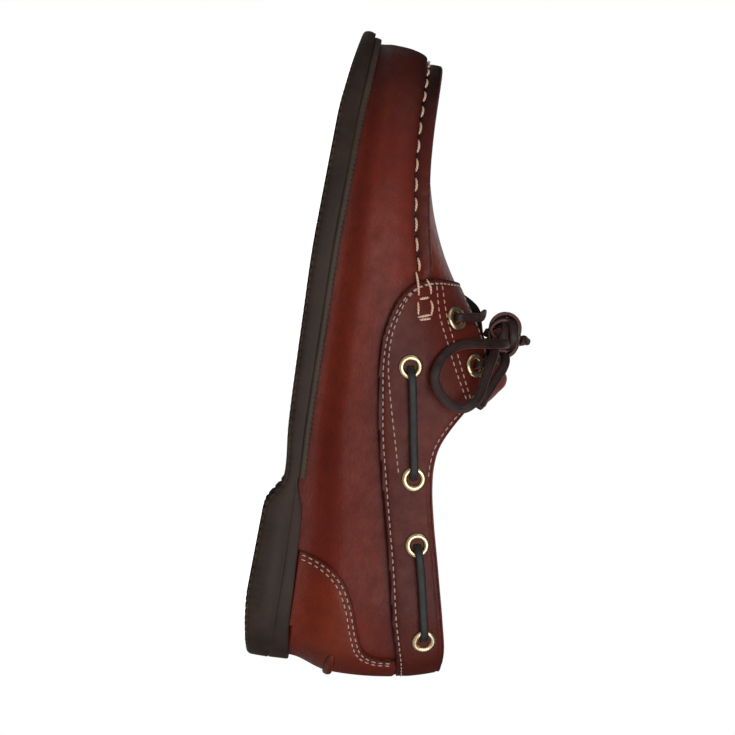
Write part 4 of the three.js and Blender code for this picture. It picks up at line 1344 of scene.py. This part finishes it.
# ---- overlays -----------------------------------------------------------------------------
CUT_RADIUS = 0.57
TOPLINE_RADIUS = 1.9
CUT_EDGE = [(0.25, -0.05), (0.45, -0.22), (0.55, -0.5), (0.57, -0.85), (0.57, -1.2),
            (0.57, -1.5), (0.5, -1.75), (0.3, -1.85)]
ROLLED_EDGE = [(TOPLINE_RADIUS * math.sin(turn), TOPLINE_RADIUS * (math.cos(turn) - 1))
               for turn in np.linspace(0, math.pi, len(CUT_EDGE) + 1)[1:]]


def lifted(sheet, lift):
    """Moves a sheet out along its normals."""
    sheet.data[:, :3] += sheet.data[:, 3:6] * np.broadcast_to(lift, len(sheet.data))[:, None]
    return sheet


def press_rows(sheet, rows, depth=0.3, reach=0.55):
    """Presses a needle groove along each (measure, level) row."""
    for name, level in rows:
        for step in (-reach, 0, reach):
            sheet.cut(name, level + step, keep=False)
    for name, level in rows:
        lifted(sheet, -depth * np.exp(-(((sheet.value(name) - level) / (0.8 * reach)) ** 2)))
    return sheet


SADDLE_ROW = 2.7     # first stitch row from the saddle's lower edge
TOPLINE_ROW = 3.2    # stitch row from the collar and throat
COUNTER_ROWS = (2.2, 4.2)


def raw_edge(sheet, first, marks, from_step):
    """Marks the vertices of a rolled border that show raw hide, from one step of its profile."""
    raw = np.zeros(len(sheet.data))
    for face, step in zip(sheet.faces[first:], marks):
        if step >= from_step:
            raw[list(face)] = 1.0
    return raw


def make_saddle():
    """The band with the eyelets: turned over a cord at the collar, cut raw along its lower edge."""
    measures = dict(MEASURES)
    puff = 0.35 * smoothstep(0, 7, MEASURES["saddle"])
    measures["shade"] = (0.35 * np.exp(-((MEASURES["saddle"] - 1.0) / 2.0) ** 2)
                         + 0.3 * np.exp(-((MEASURES["open"] - 1.0) / 2.5) ** 2))
    measures["puff"] = puff
    sheet = Leather((10, FORM.points.shape[0]), measures)
    sheet.cut("saddle", CUT_RADIUS)
    sheet.cut("open", TOPLINE_RADIUS)
    sheet.weld()
    press_rows(sheet, [("saddle", SADDLE_ROW), ("open", TOPLINE_ROW)])
    lifted(sheet, SURFACE + sheet.value("puff"))

    def edge(row):
        rolled = 1 - float(smoothstep(TOPLINE_RADIUS + 0.3, TOPLINE_RADIUS + 1.6,
                                      row[sheet.names["open"]]))
        return [tuple(np.array(a) * rolled + np.array(b) * (1 - rolled))
                for a, b in zip(ROLLED_EDGE, CUT_EDGE)]

    raw = raw_edge(sheet, *sheet.roll(edge), from_step=1)
    raw *= np.where(sheet.value("open") > 2.8, 1.0, 0.25)
    leather_piece(sheet, "saddle_band", "saddle", "saddle_leather", ["saddle"], raw)


def make_counter():
    """The panel round the back of the heel, cut raw along its front edge."""
    measures = dict(MEASURES)
    measures["below_band"] = -MEASURES["saddle"]
    rim = sole(RIM, np.clip(FORM.points[..., 0], 0, LENGTH)) + 2 * GAP
    measures["above_rim"] = FORM.points[..., 2] - rim
    measures["shade"] = 0.4 * np.exp(-((MEASURES["counter"] - 0.5) / 1.6) ** 2)
    measures["puff"] = 0.3 * smoothstep(0, 6, MEASURES["counter"])
    sheet = Leather((0, FORM.seam_row), measures)
    sheet.cut("counter", CUT_RADIUS)
    sheet.cut("below_band", -0.9)
    sheet.cut("above_rim", -0.6)
    press_rows(sheet, [("counter", level) for level in COUNTER_ROWS])
    # The counter's top runs under the band of the saddle, so it is skived thinner there.
    under = smoothstep(1.2, -0.6, sheet.value("below_band"))
    lifted(sheet, SURFACE - 0.15 + sheet.value("puff") * (1 - under) - 0.9 * under)
    raw = raw_edge(sheet, *sheet.roll(lambda row: CUT_EDGE), from_step=2)
    leather_piece(sheet, "counter_panel", "counter", "upper_leather", ["heel_counter"], raw)
    make_heel_ridge()


BOLSTER_HEIGHT = 44.0        # middle of the bolster above the floor
BOLSTER_REACH = 10.5         # how far round the heel it runs, along x
BOLSTER_ENDS = 4             # columns over which each end is pinched


def make_heel_ridge():
    """A narrow bolster across the back of the heel, pinched flat at both ends."""
    columns = [k for k in range(FORM.columns.count) if FORM.columns.x[k] < BOLSTER_REACH]
    half = FORM.columns.count // 2
    columns.sort(key=lambda k: k if k < half else k - FORM.columns.count)
    rings = []
    turns = np.linspace(0, math.pi, 9)
    reach = len(columns) - 1
    for n, k in enumerate(columns):
        wall = FORM.points[:FORM.seam_row, k]
        normals = FORM.normals[:FORM.seam_row, k]
        share = min(n, reach - n) / BOLSTER_ENDS
        pinch = float(np.clip(share, 0, 1)) ** 0.5
        tall, proud = 2.0 * (0.45 + 0.55 * pinch), 0.2 + 1.7 * pinch
        ring = []
        for turn in turns:
            z = BOLSTER_HEIGHT - tall * math.cos(turn)
            lift = SURFACE + 0.1 + proud * math.sin(turn) ** 0.7
            base = [np.interp(z, wall[:, 2], wall[:, c]) for c in range(3)]
            normal = [np.interp(z, wall[:, 2], normals[:, c]) for c in range(3)]
            ring.append(np.array(base) + np.array(normal) * lift)
        rings.append(ring)
    points, faces = tube(rings)
    burnish = np.full(len(points), 0.35)
    build("heel_bolster", points, faces, [finish("counter")], "upper_leather", ["heel_ridge"],
          {"burnish": burnish, "raw": np.zeros(len(points))})


# ---- tongue -------------------------------------------------------------------------------
def make_tongue():
    """A padded tongue: a thin leather leaf, stuffed between the facings, its tip turned up."""
    rows = np.array(TONGUE_ROWS, float)
    places = smooth_line(rows, 6)
    count = 33
    spots = np.linspace(1, -1, count)
    thick = 2.4
    top, bottom = [], []
    for x, half, puff, wide in places:
        middle = FORM.crown_y(x)
        y = middle + spots * half
        bump = np.cos(np.minimum(1, np.abs(spots * half) / wide) * math.pi / 2) ** 1.6
        z = FORM.arch_z(x, y, WALL + 2.2) + puff * bump
        top.append(np.column_stack([np.full(count, x), y, z]))
        bottom.append(np.column_stack([np.full(count, x), y, z - thick])[::-1])
    rings = []
    for upper_row, lower_row in zip(top, bottom):
        left = upper_row[-1] + [0, -0.9, -thick / 2]
        right = upper_row[0] + [0, 0.9, -thick / 2]
        rings.append(np.vstack([upper_row, [left], lower_row, [right]]))
    front, back = rings[0].copy(), rings[-1].copy()
    centre = back.mean(axis=0)
    back[:, 2] = centre[2] + (back[:, 2] - centre[2]) * 0.5
    back[:, 0] -= 1.0
    rings = [front] + rings + [back]
    points, faces = tube(rings)
    x_of_face = [points[list(face), 0].mean() for face in faces]
    padding = [1 if 157 < x < 190 else 0 for x in x_of_face]
    build("padded_tongue", points, faces, [finish("tongue"), finish("padding")], "tongue_leather",
          ["tongue"], {"burnish": np.zeros(len(points)), "raw": np.zeros(len(points))},
          face_materials=padding)


# ---- sole ---------------------------------------------------------------------------------
SIPE_PITCH = 3.5
KNURL_PITCH = 2.4
SUNK = 0.35                  # the welt is bedded this deep in the outsole


def make_outsole():
    columns = Columns(0.62)
    x = columns.x
    under, seat, rim = sole(UNDER, x), sole(SEAT, x), sole(RIM, x)
    phase = np.mod(columns.walked, SIPE_PITCH) / SIPE_PITCH
    sipe = np.clip(1.6 - np.abs(phase - 0.5) * 8, 0, 1)
    slanted = []
    for shift in (0.0, 0.22, 0.44, 0.22, 0.0):
        phase = np.mod(columns.walked / SIPE_PITCH + shift, 1)
        slanted.append(np.clip(1.6 - np.abs(phase - 0.5) * 8, 0, 1))
    waist = smoothstep(0.26, 0.30, x / LENGTH) * smoothstep(0.38, 0.34, x / LENGTH)
    depth = 1.3 * (1 - waist)
    heel = smoothstep(0.30, 0.27, x / LENGTH)
    toe = np.maximum(0, (x - 255) / (LENGTH - 255))
    rings = [
        columns.inset(13.2, under + 1.1),
        columns.inset(12.8, under + 0.2),
        columns.inset(12.2, under + 0.9 * depth * slanted[0]),
        columns.inset(10.0, under + depth * slanted[1]),
        columns.inset(7.6, under + depth * slanted[2]),
        columns.inset(5.2, under + depth * slanted[3]),
        columns.inset(2.6, under + depth * slanted[4]),
        columns.inset(1.5, under + 0.15 + depth * 0.9 * sipe),
        columns.inset(0.7 + 0.3 * sipe, under + 0.7 + 0.5 * sipe),
        columns.inset(0.25 + 0.25 * sipe, under + 1.5),
        columns.inset(0.0, under + 2.6),
        columns.inset(0.0, (under + 2.6) * 0.6 + (seat - 1.8) * 0.4),
        columns.inset(0.1, seat - 1.9),
        columns.inset(0.15 + 0.45 * heel, seat - 1.5),
        columns.inset(0.2 + 0.1 * heel + 0.3 * toe, seat - 1.0),
        columns.inset(0.3 + 0.3 * toe, seat - 0.3),
        columns.inset(0.55 + 0.25 * heel, seat * (1 - heel) + (rim - 0.7) * heel),
        columns.inset(0.9 + 0.3 * heel, seat * (1 - heel) + (rim - 0.15) * heel),
        columns.inset(1.6 + 0.2 * heel, seat * (1 - heel) + rim * heel),
        columns.inset(4.0, rim - 0.1),
        columns.inset(4.4, rim - 0.5),
        columns.inset(4.6, seat),
    ]
    points, faces = closed_rings(rings, 14)
    ring_faces = (len(rings) - 1) * columns.count
    # The underside and its tread get the paler rubber, a painted reflection of the floor.
    tread = [1 if n < 9 * columns.count else 0 for n in range(ring_faces)]
    middles = (len(faces) - ring_faces) // 2
    tread += [1] * middles + [0] * (len(faces) - ring_faces - middles)
    build("siped_outsole", points, faces, [finish("rubber"), finish("tread")], "outsole_rubber",
          ["outsole"], face_materials=tread)


def make_welt():
    """The storm welt: its outer top edge is knurled into small teeth."""
    columns = Columns(0.6)
    shown = np.nonzero(columns.x > 0.29 * LENGTH)[0]
    x = columns.x
    low = sole(SEAT, x) + GAP
    ledge = 2 * np.maximum(0, (x - 250) / (LENGTH - 250))
    tooth = 0.5 + 0.5 * np.cos(columns.walked / KNURL_PITCH * 2 * math.pi)
    tooth = tooth**0.6
    outside = 0.5 + ledge
    profile = [
        columns.inset(4.6, low - SUNK),
        columns.inset(outside, low - SUNK),
        columns.inset(outside - 0.1, low + 0.9),
        columns.inset(outside + 0.1, low + 1.5),
        columns.inset(outside + 0.35 - 0.2 * tooth, low + 1.9 + 0.2 * tooth),
        columns.inset(outside + 1.0 - 0.5 * tooth, low + 2.3 + 0.6 * tooth),
        columns.inset(outside + 1.7, low + 2.45 + 0.6 * tooth),
        columns.inset(outside + 2.4, low + 2.5 + 0.3 * tooth),
        columns.inset(4.1, low + 2.6),
        columns.inset(4.6, low + 2.2),
    ]
    rings = np.stack([ring[shown] for ring in profile], axis=1)
    points, faces = tube(rings)
    build("knurled_welt", points, faces, [finish("welt")], "outsole_rubber", ["welt"])


# ---- eyelets and laces --------------------------------------------------------------------
EYELET_PROFILE = [
    (2.95, -3.0), (3.6, -3.2), (3.75, 0.1), (5.45, 0.15), (5.65, 0.35), (5.6, 0.75), (5.2, 1.15),
    (4.6, 1.42), (3.95, 1.4), (3.4, 1.15), (3.05, 0.6), (2.9, -0.4), (2.9, -2.0),
]


def eyelet_places():
    """Name, point and outward normal of every eyelet."""
    found = {}
    for side, sign in SIDES.items():
        for name, (x, z) in {**SIDE_EYELETS, **FACING_EYELETS}.items():
            found[f"eyelet_{side}_{name}"] = COVER.seat(x, z, sign)
    return found


def make_eyelets():
    """Rolled two-part eyelets, set in the saddle."""
    for name, (centre, normal) in eyelet_places().items():
        turn = np.array(Vector((0, 0, 1)).rotation_difference(Vector(normal)).to_matrix())
        rings = []
        for radius, z in EYELET_PROFILE:
            angle = np.arange(36) * math.pi / 18
            ring = np.column_stack([radius * np.cos(angle), radius * np.sin(angle),
                                    np.full(36, z + 0.25)])
            rings.append(centre + ring @ turn.T)
        rings.append(rings[0])
        points, faces = tube(rings, capped=False)
        build(f"rolled_{name}", points, faces, [finish("brass")], "eyelet_brass", [name])


LACE_WIDTH = 3.7
LACE_DEPTH = 1.7


def make_side_laces():
    """The lace along each side, showing between one eyelet and the next."""
    for side, sign in SIDES.items():
        for run, (first, second) in {"front": "ab", "back": "cd"}.items():
            start, end = SIDE_EYELETS[first], SIDE_EYELETS[second]
            a, a_normal = COVER.seat(*start, sign)
            b, b_normal = COVER.seat(*end, sign)
            path = [a - a_normal * 3.0, a + a_normal * 0.2]
            for t, lift, sway in ((0.05, 2.5, 0), (0.12, 3.0, 0.1), (0.3, 2.5, 0.3), (0.5, 2.2, 0.3),
                                  (0.7, 2.4, 0.1), (0.88, 3.0, 0), (0.95, 2.5, 0)):
                x = start[0] + (end[0] - start[0]) * t
                z = start[1] + (end[1] - start[1]) * t + sway
                point, normal = COVER.seat(x, z, sign)
                path.append(point + normal * lift)
            path += [b + b_normal * 0.2, b - b_normal * 3.0]
            path = even_line(smooth_line(path, 8), 1.2)
            mean = unit(a_normal + b_normal)
            width_axis = unit(np.cross(unit(b - a), mean))
            parts = Parts()
            add_strap(parts, path, width_axis, LACE_WIDTH, LACE_DEPTH)
            parts.build(f"side_lace_{side}_{run}", [finish("lace")], "rawhide_lace",
                        [f"lace_{side}_{run}"])


BAR_LIFT = 7.0               # height of the bar's route over the form
BAR_FORWARD = 5.5            # how far its middle bows towards the toe


def make_facing_laces():
    """The bar over the tongue and the two leads from the back eyelets to the knot."""
    x, z = FACING_EYELETS["e"]
    outer, outer_normal = COVER.seat(x, z, 1)
    inner, inner_normal = COVER.seat(x, z, -1)
    path = [outer - outer_normal * 2.6, outer + outer_normal * 2.2]
    for t in (0.2, 0.34, 0.5, 0.66, 0.8):
        forward = BAR_FORWARD * math.sin(math.pi * t)
        y = outer[1] * (1 - t) + inner[1] * t
        top = float(FORM.arch_z(x + forward, y, -BAR_LIFT))
        path.append(np.array([x + forward, y, top]))
    path += [inner + inner_normal * 2.2, inner - inner_normal * 2.6]
    path = even_line(smooth_line(path, 8), 1.0)
    parts = Parts()
    add_strap(parts, path, (1, 0, 0), 4.2, 2.0)
    parts.build("tongue_bar", [finish("bow")], "rawhide_lace", ["lace_crossing"])
    for side, sign in SIDES.items():
        start, normal = COVER.seat(*FACING_EYELETS["f"], sign)
        end = np.array([KNOT["x"] - 6.2, KNOT["y"] + 3.4 * sign, KNOT["z"] - 3.6])
        middle = (start + normal * 3.4 + end) / 2 + [0, 0, 2.6]
        path = [start - normal * 2.6, start + normal * 1.0, start + normal * 3.4, middle, end]
        path = even_line(smooth_line(path, 8), 1.0)
        parts = Parts()
        add_strap(parts, path, (0.9, -0.4 * sign, 0), 3.6, 2.0)
        parts.build(f"knot_lead_{side}", [finish("bow")], "rawhide_lace", [f"lace_{side}_lead"])


CORD_WIDTH = 4.4
CORD_DEPTH = 2.3


def make_cords():
    """The bow: two loops and two ends of stiff rawhide lace, and the knot that holds them."""
    knot = make_knot()
    for name, route in BOW.items():
        path = even_line(smooth_line(route, 8), 1.0)
        parts = Parts()
        face_out = np.cross(unit(np.gradient(path, axis=0)), (0.25, 1.0, 0.1))
        add_strap(parts, path, face_out, CORD_WIDTH, CORD_DEPTH)
        piece = parts.build(f"rawhide_{name}", [finish("bow")], "rawhide_lace", [name])


# Wraps of the knot: tilt of each turn of lace about x and z (degrees), its size and its shift.
KNOT_WRAPS = [
    (90, 8, 1.00, (0.0, 0.0, 0.0)), (84, -16, 0.97, (3.0, 0.4, 0.0)), (78, 22, 0.95, (-3.2, -0.3, 0.3)),
    (20, 30, 0.90, (0.5, 0.0, 2.5)), (28, -40, 0.86, (-0.6, 0.6, -2.5)),
]


def make_knot():
    """The knot of the bow, from turns of lace about a tight middle."""
    parts = Parts()
    centre = np.array([KNOT["x"], KNOT["y"], KNOT["z"]])
    size = np.array([KNOT["long"], KNOT["wide"], KNOT["high"]]) / 2 - 1.3
    for tilt_x, tilt_z, share, shift in KNOT_WRAPS:
        turn = np.linspace(0, 2 * math.pi, 49)
        flat = np.column_stack([np.cos(turn), np.sin(turn), np.zeros_like(turn)])
        rotated = Matrix.Rotation(math.radians(tilt_z), 3, "Z") @ Matrix.Rotation(
            math.radians(tilt_x), 3, "X")
        ring = flat @ np.array(rotated).T
        axis = np.array(rotated) @ np.array([0, 0, 1])
        path = centre + np.array(shift) + ring * size * share
        add_strap(parts, path, axis, 4.2, 2.2, ends=1.0)
    rings = []
    for latitude in np.linspace(-1.4, 1.4, 9):
        turn = np.arange(16) * math.pi / 8
        wide = math.cos(latitude) * 0.74
        rings.append(centre + np.column_stack([
            np.cos(turn) * wide * size[0], np.sin(turn) * wide * size[1],
            np.full(16, math.sin(latitude) * 0.74 * size[2])]))
    points, faces = tube(rings)
    parts.add(points, faces, strand=points)
    return parts.build("tied_knot", [finish("bow")], "rawhide_lace", ["bow_knot"])


# ---- stitching ----------------------------------------------------------------------------
# Second row of the saddle, and the two rows up to the collar, seen from the side.
SECOND_ROW = [(186.2, 62), (184.4, 55.6), (181.4, 50.4), (176.5, 46.9), (170, 44.7), (158, 42.9),
              (145, 43.9), (130, 47.8), (112, 53.4), (97, 58.0)]
FACING_ROWS = [
    [(185, 58.6), (171, 62.9), (160, 68.6), (147, 75.6), (135.8, 82.4)],
    [(185.6, 61.2), (171.6, 66.1), (160.8, 71.6), (147.8, 78.2), (136.4, 84.2)],
]
# The end of the moccasin thread on the saddle: long stitches and bars, both ends (x, z).
LADDER = [
    ((188.6, 48.3), (184, 49.9), (178.2, 51.6)), ((186.4, 53.8), (182.5, 56.3), (179.7, 56.9)),
    ((176.8, 51.9), (178.6, 56.5)), ((175.8, 51.6), (169.6, 53.0)),
    ((177.7, 57.0), (175, 58.5), (170.2, 58.8)), ((168.6, 52.6), (171.0, 58.7)),
    ((167.6, 53.7), (169.3, 59.0)),
]


TOPLINE_ROW_END = 97.0       # the row along the collar stops here; behind it the binding is plain
BAND_FIRST_ROW = 8           # no stitch of the band lies on a lower row of the form


def make_fine_stitching():
    """The pale rows along the saddle, the facings and the counter."""
    threads, needle_holes = Parts(), Parts()
    last_row = FORM.points.shape[0]
    size = {"pitch": 3.3, "length": 2.3, "width": 0.66, "arch": 0.3}
    rows = contour((BAND_FIRST_ROW, last_row), "saddle", SADDLE_ROW, [("open", 4.0, 999)])
    rows += contour((BAND_FIRST_ROW, last_row), "open", TOPLINE_ROW,
                    [("saddle", 4.0, 999), ("column_x", TOPLINE_ROW_END, 999)])
    for line in rows:
        line[:, :3] += line[:, 3:] * (SURFACE + 0.02)
        stitch_line(threads, needle_holes, line, **size)
    for level in COUNTER_ROWS:
        for line in contour((0, FORM.seam_row), "counter", level, [("saddle", -999, -0.6)]):
            line = line[line[:, 2] > sole(RIM, line[:, 0]) + 0.6]
            line[:, :3] += line[:, 3:] * (SURFACE - 0.1)
            if len(line) > 4:
                stitch_line(threads, needle_holes, line, **size)
    for sign in SIDES.values():
        for places in [SECOND_ROW] + FACING_ROWS:
            line = COVER.line(places, sign)
            line[:, :3] += line[:, 3:] * 0.25
            stitch_line(threads, needle_holes, line, **size)
    threads.build("fine_stitching", [finish("thread")], "upper_leather")
    needle_holes.build("needle_holes", [finish("hole")], "upper_leather")


def make_moccasin_stitching():
    """The heavy thread along the moccasin seam, and its end on the saddle."""
    threads, needle_holes = Parts(), Parts()
    columns = seam_path()
    line = np.hstack([FORM.points[FORM.seam_row, columns], FORM.normals[FORM.seam_row, columns]])
    stitch_line(threads, needle_holes, line, MOC_PITCH, 6.4, 1.4, 0.85, lift=-0.6)
    for sign in SIDES.values():
        for places in LADDER:
            row = COVER.line(list(places), sign, step=0.8)
            add_stitch(threads, row[:, :3] + row[:, 3:] * 0.25, row[:, 3:], 1.15, 0.45)
    threads.build("moccasin_stitching", [finish("moc_thread")], "upper_leather")
    needle_holes.build("moccasin_holes", [finish("hole")], "upper_leather")


# ---- stage --------------------------------------------------------------------------------
CAMERA_AIM = Vector((-0.0056, 0.0, 0.036))
CAMERA_HEIGHT = 0.004        # just above the floor
SHADE_FLOOR = 0.05           # what reflections find where no lamp stands
PAPER_SEEN = 1.1             # how bright the floor is to the view
PAPER_THROWN = 0.05          # and how much of its own light it throws on the leather
# Lamps: place (m), width (m) and power (W).
LAMPS = {
    "key_softbox": ((-0.25, 1.1, 0.55), 1.0, 8.0), "toe_softbox": ((1.1, 0.6, 0.5), 0.7, 1.2),
    "heel_softbox": ((-1.1, 0.5, 0.5), 0.7, 2.0), "back_softbox": ((0.0, -1.2, 0.9), 1.1, 4.0),
}


def make_stage(sizes):
    """Camera low at the outer side, turned so that the toe points up the picture."""
    scene = bpy.context.scene
    place = Vector((CAMERA_AIM.x, sizes.camera_distance, CAMERA_HEIGHT))
    data = bpy.data.cameras.new("camera")
    data.sensor_width = 36
    data.lens = sizes.camera_distance * sizes.camera_lens_per_metre
    data.clip_end = 50
    camera = bpy.data.objects.new("camera", data)
    roll = sizes.camera_roll
    back = (place - CAMERA_AIM).normalized()
    up = Vector((math.cos(roll), 0, -math.sin(roll)))
    right = up.cross(back).normalized()
    up = back.cross(right).normalized()
    turn = Matrix((right, up, back)).transposed()
    camera.matrix_world = Matrix.Translation(place) @ turn.to_4x4()
    scene.collection.objects.link(camera)
    scene.camera = camera
    scene.view_settings.view_transform = "Standard"
    scene.view_settings.look = "None"
    make_sweep()
    for name, (spot, width, power) in LAMPS.items():
        light = bpy.data.lights.new(name, "AREA")
        light.size = width
        light.energy = power
        lamp = bpy.data.objects.new(name, light)
        lamp.location = spot
        aim = Vector((0, 0, 0.04)) - Vector(spot)
        lamp.rotation_euler = aim.to_track_quat("-Z", "Y").to_euler()
        scene.collection.objects.link(lamp)
    world = bpy.data.worlds.new("studio")
    world.use_nodes = True
    tree = world.node_tree
    rays = add(tree, "ShaderNodeLightPath")
    fill = product(tree, rays.outputs["Is Diffuse Ray"], sizes.fill_strength)
    both = add(tree, "ShaderNodeMath", {"operation": "ADD"},
               {0: rays.outputs["Is Camera Ray"], 1: fill})
    dim = add(tree, "ShaderNodeMath", {"operation": "MAXIMUM", 1: SHADE_FLOOR}, {0: both.outputs[0]})
    background = tree.nodes["Background"]
    background.inputs["Color"].default_value = (1, 1, 1, 1)
    tree.links.new(dim.outputs[0], background.inputs["Strength"])
    scene.world = world


def make_sweep():
    """A pale floor, wide enough to reach past every view."""
    reach = 3.0
    mesh = bpy.data.meshes.new("floor")
    corners = [(-reach, -reach, 0), (reach, -reach, 0), (reach, reach, 0), (-reach, reach, 0)]
    mesh.from_pydata(corners, [], [(0, 1, 2, 3)])
    material, tree, shader = new_material("floor_paper_white")
    place = add(tree, "ShaderNodeTexCoord").outputs["Object"]
    colour = mix_colour(tree, noise(tree, place, 400), linear("#9a9896"), linear("#a19f9d"))
    tree.links.new(colour, shader.inputs["Base Color"])
    shader.inputs["Roughness"].default_value = 0.9
    shader.inputs["Emission Color"].default_value = (1, 1, 1, 1)
    # Only the view sees the paper as white, so that it throws little haze on the leather.
    seen = add(tree, "ShaderNodeLightPath").outputs["Is Camera Ray"]
    tree.links.new(spread(tree, seen, 0, 1, PAPER_THROWN, PAPER_SEEN), shader.inputs["Emission Strength"])
    mesh.materials.append(material)
    floor = bpy.data.objects.new("floor", mesh)
    bpy.context.scene.collection.objects.link(floor)


# ---- the add-on ---------------------------------------------------------------------------
def hex_colour(name, description, default):
    """A colour property kept as an sRGB hex value."""
    return bpy.props.StringProperty(name=name, description=description, default=default, maxlen=7)


class ShoeColours(bpy.types.PropertyGroup):
    """Colours that a user would change."""

    vamp: hex_colour("Vamp", "Body colour of the vamp and quarters", "#5e1a0e")
    # Each dark colour is mixed in for burnish and also for painted shade.
    vamp_dark: hex_colour("Vamp dark", "Burnished parts of the vamp", "#240604")
    vamp_light: hex_colour("Vamp light", "Pulled-up parts of the vamp", "#702514")
    counter: hex_colour("Counter", "Body colour of the heel counter", "#641c0c")
    counter_light: hex_colour("Counter light", "Pulled-up parts of the counter", "#742811")
    saddle: hex_colour("Saddle", "Body colour of the saddle", "#4c130a")
    # Each dark colour is mixed in for burnish and also for painted shade.
    saddle_dark: hex_colour("Saddle dark", "Burnished parts of the saddle", "#280704")
    saddle_light: hex_colour("Saddle light", "Pulled-up parts of the saddle", "#5e1d0f")
    sole: hex_colour("Sole", "Rubber of the outsole", "#26170f")
    moc_thread: hex_colour("Moccasin thread", "Heavy thread of the moccasin seam", "#e4c6ad")
    thread: hex_colour("Fine thread", "Thread of the saddle and counter", "#c9aba0")


class ShoeSizes(bpy.types.PropertyGroup):
    """Sizes of the stage that a user would change."""

    camera_distance: bpy.props.FloatProperty(
        name="Camera distance", description="Camera to the middle of the shoe", default=1.2,
        min=0.5, unit="LENGTH")
    camera_lens_per_metre: bpy.props.FloatProperty(
        name="Lens per metre", description="Focal length in mm for each metre of distance",
        default=104.3, min=20.0)
    camera_roll: bpy.props.FloatProperty(
        name="Camera roll", description="Turn of the toe from straight up the picture",
        default=math.radians(10.8), subtype="ANGLE")
    fill_strength: bpy.props.FloatProperty(
        name="Fill", description="Soft light from all round", default=0.5, min=0.0)


class SHOE_OT_stage(bpy.types.Operator):
    """Add the camera, lights and floor"""

    bl_idname = "shoe.stage"
    bl_label = "Stage"

    def execute(self, context):
        make_stage(context.scene.shoe_sizes)
        return {"FINISHED"}


class SHOE_OT_cords(bpy.types.Operator):
    """Add the bow: its loops, ends and knot"""

    bl_idname = "shoe.cords"
    bl_label = "Bow"

    def execute(self, context):
        make_cords()
        return {"FINISHED"}


class SHOE_OT_upper(bpy.types.Operator):
    """Add the vamp, quarters and plug"""

    bl_idname = "shoe.upper"
    bl_label = "Upper"

    def execute(self, context):
        make_upper()
        return {"FINISHED"}


class SHOE_OT_lining(bpy.types.Operator):
    """Add the lining and the insole"""

    bl_idname = "shoe.lining"
    bl_label = "Lining and insole"

    def execute(self, context):
        make_lining()
        return {"FINISHED"}


class SHOE_OT_saddle(bpy.types.Operator):
    """Add the saddle that carries the eyelets"""

    bl_idname = "shoe.saddle"
    bl_label = "Saddle"

    def execute(self, context):
        make_saddle()
        return {"FINISHED"}


class SHOE_OT_counter(bpy.types.Operator):
    """Add the heel counter and its ridge"""

    bl_idname = "shoe.counter"
    bl_label = "Heel counter"

    def execute(self, context):
        make_counter()
        return {"FINISHED"}


class SHOE_OT_tongue(bpy.types.Operator):
    """Add the padded tongue"""

    bl_idname = "shoe.tongue"
    bl_label = "Tongue"

    def execute(self, context):
        make_tongue()
        return {"FINISHED"}


class SHOE_OT_sole(bpy.types.Operator):
    """Add the outsole and its welt"""

    bl_idname = "shoe.sole"
    bl_label = "Sole"

    def execute(self, context):
        make_outsole()
        make_welt()
        return {"FINISHED"}


class SHOE_OT_eyelets(bpy.types.Operator):
    """Add the brass eyelets"""

    bl_idname = "shoe.eyelets"
    bl_label = "Eyelets"

    def execute(self, context):
        make_eyelets()
        return {"FINISHED"}


class SHOE_OT_laces(bpy.types.Operator):
    """Add the laces along the sides and across the tongue"""

    bl_idname = "shoe.laces"
    bl_label = "Laces"

    def execute(self, context):
        make_side_laces()
        make_facing_laces()
        return {"FINISHED"}


class SHOE_OT_stitching(bpy.types.Operator):
    """Add the moccasin stitching and the fine stitching"""

    bl_idname = "shoe.stitching"
    bl_label = "Stitching"

    def execute(self, context):
        make_moccasin_stitching()
        make_fine_stitching()
        return {"FINISHED"}


OPERATORS = [
    SHOE_OT_stage, SHOE_OT_cords, SHOE_OT_upper, SHOE_OT_lining, SHOE_OT_saddle, SHOE_OT_counter,
    SHOE_OT_tongue, SHOE_OT_sole, SHOE_OT_eyelets, SHOE_OT_laces, SHOE_OT_stitching,
]


class SHOE_PT_panel(bpy.types.Panel):
    """Lists the pieces of the shoe"""

    bl_idname = "SHOE_PT_panel"
    bl_label = "Boat Shoe"
    bl_space_type = "VIEW_3D"
    bl_region_type = "UI"
    bl_category = "Shoe"

    def draw(self, context):
        for name in ShoeSizes.__annotations__:
            self.layout.prop(context.scene.shoe_sizes, name)
        for name in ShoeColours.__annotations__:
            self.layout.prop(context.scene.shoe_colours, name)
        for operator in OPERATORS:
            self.layout.operator(operator.bl_idname)


CLASSES = [ShoeColours, ShoeSizes, *OPERATORS, SHOE_PT_panel]


def register():
    for item in CLASSES:
        bpy.utils.register_class(item)
    bpy.types.Scene.shoe_colours = bpy.props.PointerProperty(type=ShoeColours)
    bpy.types.Scene.shoe_sizes = bpy.props.PointerProperty(type=ShoeSizes)


def unregister():
    del bpy.types.Scene.shoe_sizes
    del bpy.types.Scene.shoe_colours
    for item in reversed(CLASSES):
        bpy.utils.unregister_class(item)


def main():
    register()
    for operator in OPERATORS:
        family, name = operator.bl_idname.split(".")
        getattr(getattr(bpy.ops, family), name)()


if __name__ == "__main__":
    main()
